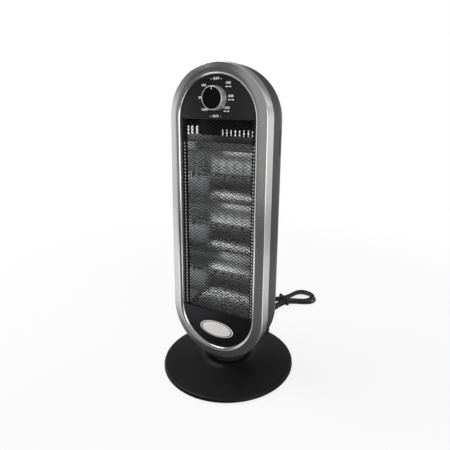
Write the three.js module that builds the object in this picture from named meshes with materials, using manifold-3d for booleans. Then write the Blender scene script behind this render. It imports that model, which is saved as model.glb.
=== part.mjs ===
// Free-standing halogen heater: an upright rounded body with three lamps behind a wire grille,
// which swings on a round base. Millimetres, +Z up. The origin is the centre of the base on the
// floor, the front faces -Y, and +X is on the right as seen from the front.
import * as THREE from 'three';
import { mergeVertices } from 'three/addons/utils/BufferGeometryUtils.js';
import Module from 'manifold-3d';

const wasm = await Module();
wasm.setup();

// Body outline: a stadium, wider than deep, standing on its round end
const bodyWidth = 200;
const bodyHeight = 569;
const bodyLift = 40; // lowest point of the body above the floor
const jointY = -28; // where the bezel meets the rear shell

// Bezel
const bezelDepth = 25.2; // side band, from the joint to the front outer edge
const bezelDome = 3.8; // how far the face swells in front of its outer edge
const bezelFace = 23; // from the outer edge to the window edge
const bezelWall = 2.4;
const lipDepth = 11; // inner return of the bezel, behind its crest
const crestInset = 18.5;

// Rear shell
const shellDepth = 76;
const shellWall = 3;
const shellStraight = 25; // depth of the shell before it rounds off
const backInset = 38; // how much the shell narrows towards its flat back
const slotPitch = 9.75;
const slotWidth = 4;
const upperSlotDrop = 64; // from the window's top to the bottom of the upper row
const upperSlotHeight = 42;
const lowerSlotRise = 56; // from the lowest point of the body
const lowerSlotHeight = 50;
const slotsPerSide = 5; // of the body's middle
const sideSlotHeight = 49;
const sideSlotWidth = 4.8;
const sideSlotTurn = 48; // degrees from straight out towards the back
const sideSlotPitch = 11.5;
const firstSideSlotY = 2;
const sideSlotCount = 3;
const bossRadius = 5.5;
const bossInset = 52; // from the body's side to the screws
const bossSlotGap = 16; // from a row of slots to the screw boss beside it
const screwHeadRadius = 4;
const screwShankRadius = 2;
const screwHeadDepth = 3;
const counterboreDepth = 9;

// Front panels and window
const panelRecess = 5; // from the bezel's crest to the panels
const panelThickness = 3;
const windowRise = 98; // from the lowest point of the body
const windowDrop = 99; // from the top of the body
const badgeWidth = 75;
const badgeHeight = 33;
const badgeThickness = 1.2;
const badgeDrop = 38; // from the window to the middle of the badge

// Grille
const grilleRecess = 7.6; // from the panels to the grille
const grilleThickness = 1.2;
const grilleInset = 30.3; // from the body's side to the grille's
const grilleBorder = 5;
const grilleOverlap = 5; // how far the grille runs behind each panel
const cellWidth = 33;
const cellHeight = 18.6;
const strandWidth = 2.1;

// Heating chamber
const sheet = 1;
const flangeWidth = 9;
const chassisBackY = 5;
const lampCount = 3;
const lampY = -22;
const tubeRadius = 5.5;
const tubeWall = 1.2;
const tubeInset = 14; // from the body's side to the end of a tube
const filamentRadius = 1.3;
const capSize = 16;
const capEnd = 2;
const troughDepth = 26;
const troughBackY = -2;
const troughRise = 20; // from the window's bottom to the lowest trough
const reflectorRim = 15; // upright strip above the highest trough
const reflectorDrop = 43; // from the window's top to the reflector's
const shieldMargin = 17;
const shieldRise = 11; // above the reflector
const bracketRise = 14; // above the reflector, where the side brackets narrow
const bracketStrip = 6; // their depth above that
const cutoutRadius = 8;
const cutoutHeight = 7;

// Control knob and switch
const knobDrop = 63; // from the top of the body to the knob's axis
const knobDiameter = 42;
const knobLength = 17.5;
const knobRim = 3.4;
const knobFaceDepth = 2.5;
const knobGap = 0.6; // between the knob and the panel
const pointerLength = 4;
const pointerWidth = 1.6;
const shaftRadius = 3.2;
const shaftInKnob = 7.5;
const shaftInSwitch = 12;
const switchSize = 34;
const switchDepth = 24;

// Base
const baseRadius = 136.3;
const baseCentreRadius = 48; // raised flat that carries the body
const baseHeight = 23;
const baseWall = 2.7;
const rimHeight = 6;
const shoulderWidth = 8; // slope just outside the raised flat
const shoulderDrop = 4.5;
const slopeRadius = 75; // the top is convex inside this radius
const slopeDrop = 9;
const skirtWidth = 34.3; // and nearly level this far in from the rim
const skirtRise = 3; // above the rim
const footHeight = 2.7;
const footInset = 5.3; // from the base's rim to the feet
const footRadialWidth = 18;
const footArc = 28; // degrees
const firstFootAngle = 29; // degrees from the front towards +X
const footCount = 4;
const plateThickness = 2;
const outletAngle = 6; // degrees from the back towards +X
const noseReach = 11.7; // how far the cord outlet stands out of the base
const noseHalfWidth = 18;
const noseFlare = 6;
const noseRound = 2.5;
const noseBottom = 1.2;
const noseTop = 13.4;
const baseSteps = 48;

// Swivel and its drive
const swingLimit = 35; // degrees each way
const collarRadius = 43;
const washerHeight = 1;
const washerInner = 24;
const washerOuter = 40;
const postRadius = 11;
const postBore = 7.5;
const postFlangeRadius = 24;
const postFlangeHeight = 2.8;
const swivelPlateLift = 22; // from the bottom of the body to the plate
const swivelPlateBackY = 12;
const armThickness = 3;
const armDrop = 10; // from the plate down to the arm
const armEdge = 3;
const nutHeight = 3;
const nutRadius = 13;
const crankCentre = 24; // from the swivel axis to the motor shaft
const crankPinRadius = 2;
const crankHubRadius = 5;
const crankThickness = 3;
const crankStubRadius = 3;
const stubInMotor = 5;
const motorRadius = 23;
const motorHeight = 20;
const motorOffset = 6;
const terminalSize = [26, 16, 12];
const terminalX = 36;

// Tip-over switch
const tipRadius = 42;
const tipAngle = 150; // degrees from +X
const tipSwitchSize = [24, 16, 9];
const plungerRadius = 4;
const plungerLift = 0.1; // plunger's tip above the floor while the heater stands
const plungerLength = 9;
const plungerTravel = 5;

// Cord
const cordDiameter = 6;
const reliefRadius = 4.5;
const reliefTipRadius = 3.6;
const reliefLength = 20; // tapered part outside the outlet
const reliefZ = 7.2;
const hankX = 11; // middle of the hank
const hankReach = 135; // from the strain relief's tip to the middle of the hank
const hankAngle = 50; // degrees from +X, along the hank
const hankHalfLength = 82; // innermost loop
const hankWaist = 3;
const hankBelly = 35;
const strandPitch = 8.2; // between strands at the waist
const loopPitch = 7.2; // between loops at the ends
const bellyPitch = 6;
const layerHeight = 6.75;
const hankStartTurn = 15; // degrees before the first crossing of the waist
const hankStep = 15; // degrees, 24 steps a loop
const tieWidth = 6;
const tieThickness = 1;
const tieGap = 1;
const liftReach = 45; // the strands rise over the tie within this distance of the waist
const plugLength = 36;
const plugWidth = 30;
const plugNeck = 11;
const plugHeight = 15;
const pinLength = 19;
const pinRadius = 2.4;
const pinSpacing = 19;

const seatGap = 0.3; // between pieces that rest on, or pass through, each other
const arcSteps = 20;
const roundSteps = 32;
const overshoot = 2; // how far a cutter runs past the piece that it cuts

// Worked out from the sizes above
const bodyRadius = bodyWidth / 2;
const facet = Math.cos(Math.PI / 2 / arcSteps); // how far in the flats of a faceted arc lie
const bodyMidZ = bodyLift + bodyHeight / 2;
const straightHalf = (bodyHeight - bodyWidth) / 2;
const lowerArcZ = bodyMidZ - straightHalf;
const upperArcZ = bodyMidZ + straightHalf;
const edgeY = jointY - bezelDepth;
const crestY = edgeY - bezelDome;
const lipBackY = crestY + lipDepth;
const windowBottom = bodyLift + windowRise;
const windowTop = bodyLift + bodyHeight - windowDrop;
const upperSlotBottom = windowTop - upperSlotDrop;
const lowerSlotBottom = bodyLift + lowerSlotRise;
const panelY = crestY + panelRecess;
const panelRadius = (bodyRadius - bezelFace) * facet - seatGap;
const grilleY = panelY + grilleRecess;
const grilleHalfWidth = bodyRadius - grilleInset;
const roundY = jointY + shellStraight;
const backY = jointY + shellDepth;
const chassisBottom = windowBottom - grilleOverlap;
const chassisTop = windowTop + grilleOverlap;
const reflectorTop = windowTop - reflectorDrop;
const shieldTop = reflectorTop + shieldRise;
const bracketTop = reflectorTop + bracketRise;
const lampPitch = (reflectorTop - reflectorRim - windowBottom - troughRise) / lampCount;
const lampZs = Array.from({ length: lampCount },
  (_, i) => windowBottom + troughRise + (i + 0.5) * lampPitch);
const tubeHalfLength = bodyRadius - tubeInset;
const knobZ = bodyLift + bodyHeight - knobDrop;
const swivelPlateZ = bodyLift + swivelPlateLift;
const radians = THREE.MathUtils.degToRad;

const heater = new THREE.Group();

function finish(color, roughness, metalness = 0) {
  return new THREE.MeshStandardMaterial({ color, roughness, metalness });
}

const silverPaint = finish(0x9a9da1, 0.35, 0.75);
const blackPlastic = finish(0x1c1c1e, 0.5);
const shellPlastic = finish(0x3c3d40, 0.5);
const satinBlack = finish(0x242428, 0.4);
const blackWire = finish(0x0e0e0f, 0.45, 0.3);
const polishedSheet = finish(0xd4d6d8, 0.15, 1);
const zincSteel = finish(0x9d9fa2, 0.35, 1);
const whiteCeramic = finish(0xe8e4da, 0.6);
const clearQuartz = finish(0xe6eaec, 0.05);
const tungsten = finish(0x6b6761, 0.4, 1);
const blackRubber = finish(0x141414, 0.85);
const paleBadge = finish(0xe9e2e0, 0.35);
const knobMetal = finish(0xc9cbce, 0.25, 0.9);
const creamPlastic = finish(0xd8d3c4, 0.5);
const brassPins = finish(0xc8b48a, 0.3, 1);

// Keeps only positions, shared by neighbouring faces, and drops faces with no area
function bare(geometry) {
  const copy = geometry.clone();
  copy.deleteAttribute('normal');
  copy.deleteAttribute('uv');
  const merged = mergeVertices(copy, 1e-4);
  const index = merged.index.array;
  const kept = [];
  for (let i = 0; i < index.length; i += 3) {
    const [a, b, c] = [index[i], index[i + 1], index[i + 2]];
    if (a !== b && b !== c && c !== a) kept.push(a, b, c);
  }
  merged.setIndex(facingOut(merged.attributes.position.array, kept));
  return merged;
}

function toSolid(geometry) {
  const merged = bare(geometry);
  return new wasm.Manifold(new wasm.Mesh({
    numProp: 3,
    vertProperties: new Float32Array(merged.attributes.position.array),
    triVerts: new Uint32Array(merged.index.array),
  }));
}

function fromSolid(solid) {
  const mesh = solid.getMesh();
  const geometry = new THREE.BufferGeometry();
  geometry.setAttribute('position', new THREE.BufferAttribute(mesh.vertProperties, 3));
  geometry.setIndex(new THREE.BufferAttribute(mesh.triVerts, 1));
  return geometry;
}

function cut(geometry, ...tools) {
  return fromSolid(tools.reduce((solid, tool) => solid.subtract(toSolid(tool)), toSolid(geometry)));
}

function join(geometry, ...others) {
  return fromSolid(others.reduce((solid, other) => solid.add(toSolid(other)), toSolid(geometry)));
}

function piece(name, geometry, material) {
  const mesh = new THREE.Mesh(bare(geometry), material);
  mesh.name = name;
  heater.add(mesh);
  return mesh;
}

// A closed surface from rows of points; each row is a loop, and the rows form a tube or a ring
function skin(rows, closed) {
  const count = rows[0].length;
  const position = new Float32Array(rows.flat(2));
  const index = [];
  const lastRow = closed ? rows.length : rows.length - 1;
  for (let i = 0; i < lastRow; i++) {
    const next = (i + 1) % rows.length;
    for (let j = 0; j < count; j++) {
      const k = (j + 1) % count;
      const [a, b, c, d] = [i * count + j, i * count + k, next * count + k, next * count + j];
      index.push(a, b, c, a, c, d);
    }
  }
  if (!closed) {
    const last = (rows.length - 1) * count;
    for (let j = 1; j < count - 1; j++) {
      index.push(0, j + 1, j, last, last + j, last + j + 1);
    }
  }
  const geometry = new THREE.BufferGeometry();
  geometry.setAttribute('position', new THREE.BufferAttribute(position, 3));
  geometry.setIndex(index);
  return geometry;
}

// Turns the faces round where their signed volume is negative
function facingOut(position, index) {
  const [a, b, c] = [new THREE.Vector3(), new THREE.Vector3(), new THREE.Vector3()];
  let volume = 0;
  for (let i = 0; i < index.length; i += 3) {
    a.fromArray(position, 3 * index[i]);
    b.fromArray(position, 3 * index[i + 1]);
    c.fromArray(position, 3 * index[i + 2]);
    volume += a.dot(b.cross(c));
  }
  return volume < 0 ? index.reverse() : index;
}

// Points round a stadium with half-width r that shares the body's middle line
function stadiumRow(r, y) {
  const row = [];
  for (const arcZ of [upperArcZ, lowerArcZ]) {
    const start = arcZ === upperArcZ ? 0 : Math.PI;
    for (let i = 0; i <= arcSteps; i++) {
      const angle = start + Math.PI * i / arcSteps;
      row.push([r * Math.cos(angle), y, arcZ + r * Math.sin(angle)]);
    }
  }
  return row;
}

function box(x0, x1, y0, y1, z0, z1) {
  return new THREE.BoxGeometry(x1 - x0, y1 - y0, z1 - z0)
    .translate((x0 + x1) / 2, (y0 + y1) / 2, (z0 + z1) / 2);
}

function cylinderZ(radius, z0, z1, x = 0, y = 0, steps = roundSteps) {
  return new THREE.CylinderGeometry(radius, radius, z1 - z0, steps)
    .rotateX(Math.PI / 2).translate(x, y, (z0 + z1) / 2);
}

function cylinderY(radius, y0, y1, x = 0, z = 0, steps = roundSteps) {
  return new THREE.CylinderGeometry(radius, radius, y1 - y0, steps)
    .translate(x, (y0 + y1) / 2, z);
}

function cylinderX(radius, x0, x1, y, z, steps = roundSteps) {
  return new THREE.CylinderGeometry(radius, radius, x1 - x0, steps)
    .rotateZ(Math.PI / 2).translate((x0 + x1) / 2, y, z);
}

// Turned piece about Z; the profile is [radius, z] pairs
function turned(profile, steps = 2 * roundSteps) {
  const points = profile.map(([r, z]) => new THREE.Vector2(r, z));
  return new THREE.LatheGeometry(points, steps).rotateX(Math.PI / 2);
}

function shapeOf(points) {
  return new THREE.Shape(points.map(([x, y]) => new THREE.Vector2(x, y)));
}

// Upright plate: the shape is drawn in X and Z, and its front face lies at y
function plate(shape, y, thickness) {
  return new THREE.ExtrudeGeometry(shape, { depth: thickness, bevelEnabled: false })
    .rotateX(Math.PI / 2).translate(0, y + thickness, 0);
}

// Level slab: the shape is drawn in X and Y, and its underside lies at z
function slab(shape, z, thickness) {
  return new THREE.ExtrudeGeometry(shape, { depth: thickness, bevelEnabled: false })
    .translate(0, 0, z);
}

// Drawn in Y and Z, and run along X
function alongX(shape, x, length) {
  const turn = new THREE.Matrix4().makeBasis(
    new THREE.Vector3(0, 1, 0), new THREE.Vector3(0, 0, 1), new THREE.Vector3(1, 0, 0));
  return new THREE.ExtrudeGeometry(shape, { depth: length, bevelEnabled: false })
    .applyMatrix4(turn).translate(x, 0, 0);
}

// ---- Bezel: a domed silver ring with a side band and an inner return ----
function bezelGeometry() {
  const face = bezelFace - crestInset;
  const profile = [
    [0, jointY],
    [0, edgeY + 1.8],
    [0.5, edgeY + 0.5],
    [1.8, edgeY],
    [crestInset * 0.4, edgeY - bezelDome * 0.5],
    [crestInset * 0.7, edgeY - bezelDome * 0.84],
    [crestInset, crestY],
    [crestInset + face * 0.5, crestY + face * 0.18],
    [crestInset + face * 0.87, crestY + face * 0.6],
    [bezelFace, crestY + face],
    [bezelFace, lipBackY],
    [bezelFace - bezelWall, lipBackY],
    [bezelFace - bezelWall, crestY + face],
    [crestInset, crestY + bezelWall],
    [bezelWall, edgeY + bezelWall],
    [bezelWall, jointY],
  ];
  return skin(profile.map(([inset, y]) => stadiumRow(bodyRadius - inset, y)), true);
}

// ---- Rear shell: an open tub with vent slots and four screw bosses ----
function shellInsetAt(y) {
  if (y <= roundY) return 0;
  const t = (y - roundY) / (backY - roundY);
  return backInset * (1 - Math.sqrt(Math.max(0, 1 - t * t)));
}

function tub(frontY, radius, farY) {
  const rows = [stadiumRow(radius, frontY), stadiumRow(radius, roundY)];
  const roundSections = 5;
  for (let i = 1; i <= roundSections; i++) {
    const angle = Math.PI / 2 * i / roundSections;
    const y = roundY + (farY - roundY) * Math.sin(angle);
    rows.push(stadiumRow(radius - backInset * (1 - Math.cos(angle)), y));
  }
  return skin(rows, false);
}

function slotRow(bottom, height) {
  const slots = [];
  for (let i = 0; i < slotsPerSide; i++) {
    const x = (i + 0.5) * slotPitch;
    const right = box(x - slotWidth / 2, x + slotWidth / 2, chassisBackY + overshoot, backY + overshoot,
      bottom, bottom + height);
    slots.push(right, mirrored(right));
  }
  return slots;
}

// Slots in the two side walls, level with the upper row at the back and slanted towards it
function sideSlots() {
  const slots = [];
  for (let i = 0; i < sideSlotCount; i++) {
    const y = firstSideSlotY + i * sideSlotPitch;
    const right = box(-2 * shellWall, 2 * shellWall, -sideSlotWidth / 2, sideSlotWidth / 2,
      upperSlotBottom, upperSlotBottom + sideSlotHeight)
      .rotateZ(radians(sideSlotTurn))
      .translate(bodyRadius - shellInsetAt(y) - shellWall / 2, y, 0);
    slots.push(right, mirrored(right));
  }
  return slots;
}

const screwPlaces = [];
for (const z of [upperSlotBottom - bossSlotGap, lowerSlotBottom + lowerSlotHeight + bossSlotGap]) {
  for (const x of [bossInset - bodyRadius, bodyRadius - bossInset]) screwPlaces.push([x, z]);
}
const bossFrontY = chassisBackY + seatGap;
const headSeatY = backY - counterboreDepth;

function shellGeometry() {
  const hollow = cut(
    tub(jointY + seatGap, bodyRadius, backY),
    tub(jointY - overshoot, bodyRadius - shellWall, backY - shellWall));
  const bosses = screwPlaces.map(([x, z]) =>
    cylinderY(bossRadius, bossFrontY, backY - shellWall / 2, x, z, 16));
  const bores = screwPlaces.flatMap(([x, z]) => [
    cylinderY(screwHeadRadius + seatGap, headSeatY, backY + overshoot, x, z, 16),
    cylinderY(screwShankRadius + seatGap, bossFrontY - overshoot, backY, x, z, 12),
  ]);
  return cut(join(hollow, ...bosses), ...bores,
    ...slotRow(upperSlotBottom, upperSlotHeight), ...slotRow(lowerSlotBottom, lowerSlotHeight),
    ...sideSlots(),
    cylinderZ(postRadius + overshoot, bodyLift - overshoot, swivelPlateZ - armDrop));
}

function shellScrew(x, z) {
  return join(
    cylinderY(screwHeadRadius, headSeatY, headSeatY + screwHeadDepth, x, z, 16),
    cylinderY(screwShankRadius, bossFrontY, headSeatY + 1, x, z, 12));
}

piece('bezel', bezelGeometry(), silverPaint);
piece('rear_shell', shellGeometry(), shellPlastic);
screwPlaces.forEach(([x, z], i) => piece(`shell_screw_${i + 1}`, shellScrew(x, z), zincSteel));

// ---- Front panels: black half-rounds above and below the window ----
function panelShape(lineZ, arcZ, side) {
  const rise = Math.asin(side * (lineZ - arcZ) / panelRadius);
  const points = [];
  for (let i = 0; i <= arcSteps; i++) {
    const angle = rise + (Math.PI - 2 * rise) * i / arcSteps;
    points.push([side * panelRadius * Math.cos(angle), arcZ + side * panelRadius * Math.sin(angle)]);
  }
  return shapeOf(points);
}

const upperPanel = plate(panelShape(windowTop, upperArcZ, 1), panelY, panelThickness);
const shaftHole = cylinderY(shaftRadius + 1, panelY - overshoot, panelY + panelThickness + overshoot, 0, knobZ);
piece('upper_panel', cut(upperPanel, shaftHole), satinBlack);
piece('lower_panel', plate(panelShape(windowBottom, lowerArcZ, -1), panelY, panelThickness), satinBlack);

const badgeShape = new THREE.Shape();
badgeShape.absellipse(0, windowBottom - badgeDrop, badgeWidth / 2, badgeHeight / 2, 0, 2 * Math.PI);
const badge = new THREE.ExtrudeGeometry(badgeShape,
  { depth: badgeThickness, bevelEnabled: false, curveSegments: roundSteps / 2 });
piece('badge_plate', badge.rotateX(Math.PI / 2).translate(0, panelY, 0), paleBadge);

// ---- Grille: expanded metal, with diamonds three times the size of the real ones ----
function grilleShape() {
  const shape = shapeOf([
    [-grilleHalfWidth, chassisBottom], [grilleHalfWidth, chassisBottom],
    [grilleHalfWidth, chassisTop], [-grilleHalfWidth, chassisTop],
  ]);
  const halfX = (cellWidth - strandWidth * cellWidth / cellHeight) / 2;
  const halfZ = (cellHeight - strandWidth) / 2;
  const midZ = (chassisBottom + chassisTop) / 2;
  const rows = Math.floor((chassisTop - chassisBottom) / cellHeight) * 2;
  const columns = Math.ceil(grilleHalfWidth / cellWidth);
  for (let row = -rows / 2; row <= rows / 2; row++) {
    const z = midZ + row * cellHeight / 2;
    for (let column = -columns; column <= columns; column++) {
      const x = (column + (row % 2 ? 0.5 : 0)) * cellWidth;
      const inside = Math.abs(x) + halfX <= grilleHalfWidth - grilleBorder
        && Math.abs(z - midZ) + halfZ <= (chassisTop - chassisBottom) / 2 - grilleBorder;
      if (!inside) continue;
      shape.holes.push(new THREE.Path([
        new THREE.Vector2(x - halfX, z), new THREE.Vector2(x, z + halfZ),
        new THREE.Vector2(x + halfX, z), new THREE.Vector2(x, z - halfZ),
      ]));
    }
  }
  return shape;
}

piece('grille', plate(grilleShape(), grilleY, grilleThickness), blackWire);

// ---- Heating chamber: side brackets, reflector, heat shield and top baffle ----
const bracketX = grilleHalfWidth + seatGap;

function bracketGeometry(side) {
  const frontY = lipBackY + seatGap;
  const outline = [
    [bracketX, chassisBackY], [bracketX, frontY], [bracketX + flangeWidth, frontY],
    [bracketX + flangeWidth, frontY + sheet], [bracketX + sheet, frontY + sheet],
    [bracketX + sheet, chassisBackY],
  ];
  const angle = cut(
    slab(shapeOf(outline), chassisBottom, chassisTop - chassisBottom),
    box(bracketX - overshoot, bracketX + sheet + overshoot, frontY + bracketStrip,
      chassisBackY + overshoot, bracketTop, chassisTop + overshoot));
  const holes = lampZs.map((z) =>
    cylinderX(tubeRadius + 1, bracketX - overshoot, bracketX + sheet + overshoot, lampY, z, 20));
  const right = cut(angle, ...holes);
  return side > 0 ? right : mirrored(right);
}

function mirrored(geometry) {
  return geometry.clone().scale(-1, 1, 1);
}

function reflectorShape() {
  const halfChord = lampPitch / 2;
  const radius = (halfChord * halfChord + troughDepth * troughDepth) / (2 * troughDepth);
  const reach = Math.asin(halfChord / radius);
  const troughSteps = 10;
  const front = [[grilleY + grilleThickness + seatGap, chassisBottom + 2 * sheet]]; // lip behind the grille
  for (const z of lampZs) {
    for (let i = 0; i < troughSteps; i++) {
      const angle = -reach + 2 * reach * i / troughSteps;
      front.push([troughBackY - radius + radius * Math.cos(angle), z + radius * Math.sin(angle)]);
    }
  }
  const cuspY = troughBackY - troughDepth;
  front.push([cuspY, lampZs[lampCount - 1] + halfChord], [cuspY, reflectorTop]);
  const back = front.map(([y, z], i) => (i ? [y + sheet, z] : [y, z - sheet])).reverse();
  return shapeOf([...front, ...back]);
}

piece('lamp_bracket_right', bracketGeometry(1), zincSteel);
piece('lamp_bracket_left', bracketGeometry(-1), zincSteel);
piece('reflector', alongX(reflectorShape(), -grilleHalfWidth, 2 * grilleHalfWidth), polishedSheet);
piece('heat_shield', box(-grilleHalfWidth, grilleHalfWidth, chassisBackY - sheet, chassisBackY,
  chassisBottom + shieldMargin, shieldTop), zincSteel);
piece('control_baffle', box(-grilleHalfWidth, grilleHalfWidth, grilleY + grilleThickness + seatGap,
  chassisBackY, chassisTop - 2 * sheet, chassisTop - sheet), zincSteel);

// ---- Lamps: quartz tubes with a filament, held at each end in a ceramic cap ----
const capStart = bracketX + sheet + seatGap;
const capBoreEnd = tubeHalfLength + seatGap;

function ring(outer, inner, length) {
  return turned([[inner, -length / 2], [outer, -length / 2], [outer, length / 2], [inner, length / 2],
    [inner, -length / 2]], 20);
}

function capGeometry(side, z) {
  const half = capSize / 2;
  const block = box(capStart, capBoreEnd + capEnd, lampY - half, lampY + half, z - half, z + half);
  const bore = cylinderX(tubeRadius + seatGap, capStart - overshoot, capBoreEnd, lampY, z, 20);
  const bored = cut(block, bore);
  return side > 0 ? bored : mirrored(bored);
}

lampZs.forEach((z, i) => {
  const tube = ring(tubeRadius, tubeRadius - tubeWall, 2 * tubeHalfLength).rotateY(Math.PI / 2);
  piece(`quartz_tube_${i + 1}`, tube.translate(0, lampY, z), clearQuartz);
  const filament = cylinderX(filamentRadius, -tubeHalfLength, tubeHalfLength, lampY, z, 8);
  piece(`filament_${i + 1}`, filament, tungsten);
  piece(`lamp_cap_right_${i + 1}`, capGeometry(1, z), whiteCeramic);
  piece(`lamp_cap_left_${i + 1}`, capGeometry(-1, z), whiteCeramic);
});

piece('thermal_cutout', cylinderY(cutoutRadius, chassisBackY, chassisBackY + cutoutHeight,
  grilleHalfWidth / 2, reflectorTop - 2 * cutoutRadius, 20), creamPlastic);

// ---- Knob and rotary switch ----
const knobBackY = panelY - knobGap;
const switchY = panelY + panelThickness;

function knobGeometry() {
  const radius = knobDiameter / 2;
  const bore = shaftRadius + seatGap;
  const profile = [
    [0, shaftInKnob], [bore, shaftInKnob], [bore, 0], [radius, 0], [radius, knobLength - 1],
    [radius - 0.8, knobLength], [radius - knobRim, knobLength],
    [radius - knobRim, knobLength - knobFaceDepth], [0, knobLength - knobFaceDepth],
  ];
  const points = profile.map(([r, h]) => new THREE.Vector2(r, h));
  return new THREE.LatheGeometry(points, roundSteps).rotateX(Math.PI).translate(0, knobBackY, knobZ);
}

function knobFaceGeometry() {
  const radius = knobDiameter / 2 - knobRim - seatGap;
  const backOfFace = knobBackY - knobLength + knobFaceDepth;
  const frontOfFace = knobBackY - knobLength + seatGap;
  const notch = box(-pointerWidth / 2, pointerWidth / 2, frontOfFace - overshoot, frontOfFace + 0.8,
    knobZ + radius - pointerLength, knobZ + radius + overshoot);
  return cut(cylinderY(radius, frontOfFace, backOfFace, 0, knobZ), notch);
}

piece('knob_ring', knobGeometry(), knobMetal);
piece('knob_face', knobFaceGeometry(), blackPlastic);
piece('switch_shaft', cylinderY(shaftRadius, knobBackY - shaftInKnob + seatGap,
  switchY + shaftInSwitch - seatGap, 0, knobZ, 16), zincSteel);
piece('rotary_switch', cut(
  box(-switchSize / 2, switchSize / 2, switchY, switchY + switchDepth,
    knobZ - switchSize / 2, knobZ + switchSize / 2),
  cylinderY(shaftRadius + seatGap, switchY - overshoot, switchY + shaftInSwitch, 0, knobZ, 16),
), creamPlastic);

// ---- Base: cover, floor plate, feet and cord outlet ----
const rimTop = footHeight + rimHeight;
const coverUnder = baseHeight - baseWall;
const noseEnd = baseRadius + noseReach;
const outletTurn = -radians(outletAngle);
const skirtRadius = baseRadius - skirtWidth;
const footOuterRadius = baseRadius - footInset;

// Places something drawn along +Y at the back of the base on the outlet's line
function atOutlet(geometry) {
  return geometry.rotateZ(outletTurn);
}

function coverGeometry() {
  const shoulder = baseCentreRadius + shoulderWidth;
  const outer = [
    [postRadius + seatGap, baseHeight], [baseCentreRadius, baseHeight],
    [baseCentreRadius + 2, baseHeight - 0.8], [shoulder, baseHeight - shoulderDrop],
    [slopeRadius, baseHeight - slopeDrop], [skirtRadius, rimTop + skirtRise],
    [baseRadius - 3, rimTop], [baseRadius - 0.8, rimTop - 1], [baseRadius, rimTop - 3],
    [baseRadius, footHeight],
  ];
  const inner = [
    [baseRadius - baseWall, footHeight], [baseRadius - baseWall, rimTop - baseWall],
    [skirtRadius, rimTop + skirtRise - baseWall], [slopeRadius, baseHeight - slopeDrop - baseWall],
    [shoulder - baseWall, baseHeight - shoulderDrop - baseWall],
    [baseCentreRadius - 1, coverUnder], [postRadius + seatGap, coverUnder],
  ];
  return turned([...outer, ...inner, outer[0]], baseSteps);
}

// Bushing clipped to the rim, which the strain relief comes out of
function outletGeometry() {
  const root = baseRadius - noseFlare;
  const nose = shapeOf([
    [-noseHalfWidth - noseFlare, root], [noseHalfWidth + noseFlare, root],
    [noseHalfWidth, noseEnd - noseRound], [noseHalfWidth - noseRound, noseEnd],
    [noseRound - noseHalfWidth, noseEnd], [-noseHalfWidth, noseEnd - noseRound],
  ]);
  return cut(
    atOutlet(slab(nose, noseBottom, noseTop - noseBottom)),
    cylinderZ(baseRadius + seatGap, 0, noseTop + overshoot, 0, 0, baseSteps),
    atOutlet(cylinderY(reliefRadius + seatGap, root, noseEnd + overshoot, 0, reliefZ, 16)));
}

function footGeometry(angle) {
  const shape = new THREE.Shape();
  const half = radians(footArc / 2);
  shape.absarc(0, 0, footOuterRadius, -half, half, false);
  shape.absarc(0, 0, footOuterRadius - footRadialWidth, half, -half, true);
  return new THREE.ExtrudeGeometry(shape, { depth: footHeight, bevelEnabled: false, curveSegments: 8 })
    .rotateZ(radians(angle - 90));
}

const tipX = tipRadius * Math.cos(radians(tipAngle));
const tipY = tipRadius * Math.sin(radians(tipAngle));
const floorPlateTop = footHeight + plateThickness;

piece('base_cover', coverGeometry(), blackPlastic);
piece('cord_outlet', outletGeometry(), blackPlastic);
piece('base_plate', cut(
  cylinderZ(baseRadius - baseWall - seatGap, footHeight, floorPlateTop, 0, 0, baseSteps),
  cylinderZ(plungerRadius + 0.6, 0, floorPlateTop + overshoot, tipX, tipY, 20)), zincSteel);
for (let i = 0; i < footCount; i++) {
  piece(`foot_${i + 1}`, footGeometry(firstFootAngle + i * 360 / footCount), blackRubber);
}

const plungerTop = plungerLift + plungerLength;
piece('tip_switch', cut(
  box(tipX - tipSwitchSize[0] / 2, tipX + tipSwitchSize[0] / 2, tipY - tipSwitchSize[1] / 2,
    tipY + tipSwitchSize[1] / 2, floorPlateTop, floorPlateTop + tipSwitchSize[2]),
  cylinderZ(plungerRadius + seatGap, 0, plungerTop + 1, tipX, tipY, 20)), creamPlastic);
piece('tip_plunger', cylinderZ(plungerRadius, plungerLift, plungerTop, tipX, tipY, 20), creamPlastic);

// ---- Swivel: a hollow post fixed in the base, and a collar under the body ----
const armZ = swivelPlateZ - armDrop;
const crankZ = armZ + armThickness + 1.5;
const postTop = crankZ + crankThickness;
const flangeZ = coverUnder - seatGap - postFlangeHeight;
const washerZ = baseHeight;
const collarZ = washerZ + washerHeight + seatGap;

piece('swivel_post', turned([
  [postBore, flangeZ], [postFlangeRadius, flangeZ], [postFlangeRadius, flangeZ + postFlangeHeight],
  [postRadius, flangeZ + postFlangeHeight], [postRadius, postTop], [postBore, postTop], [postBore, flangeZ],
], roundSteps), zincSteel);
piece('thrust_washer', turned([
  [washerInner, washerZ], [washerOuter, washerZ], [washerOuter, washerZ + washerHeight],
  [washerInner, washerZ + washerHeight], [washerInner, washerZ],
], roundSteps), creamPlastic);
piece('neck_collar', cut(
  cylinderZ(collarRadius, collarZ, lowerArcZ, 0, 0, roundSteps),
  cylinderZ(postRadius + 0.5, collarZ - overshoot, lowerArcZ + overshoot),
  tub(crestY - bodyRadius, bodyRadius + seatGap, backY + seatGap)), blackPlastic);

// ---- Drive: a geared motor turns a crank, whose pin slides in a slotted arm on the post ----
const crankThrow = crankCentre * Math.sin(radians(swingLimit));
const crankTurnLimit = 90 + swingLimit; // crank angle at the end of the swing, in degrees

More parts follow.
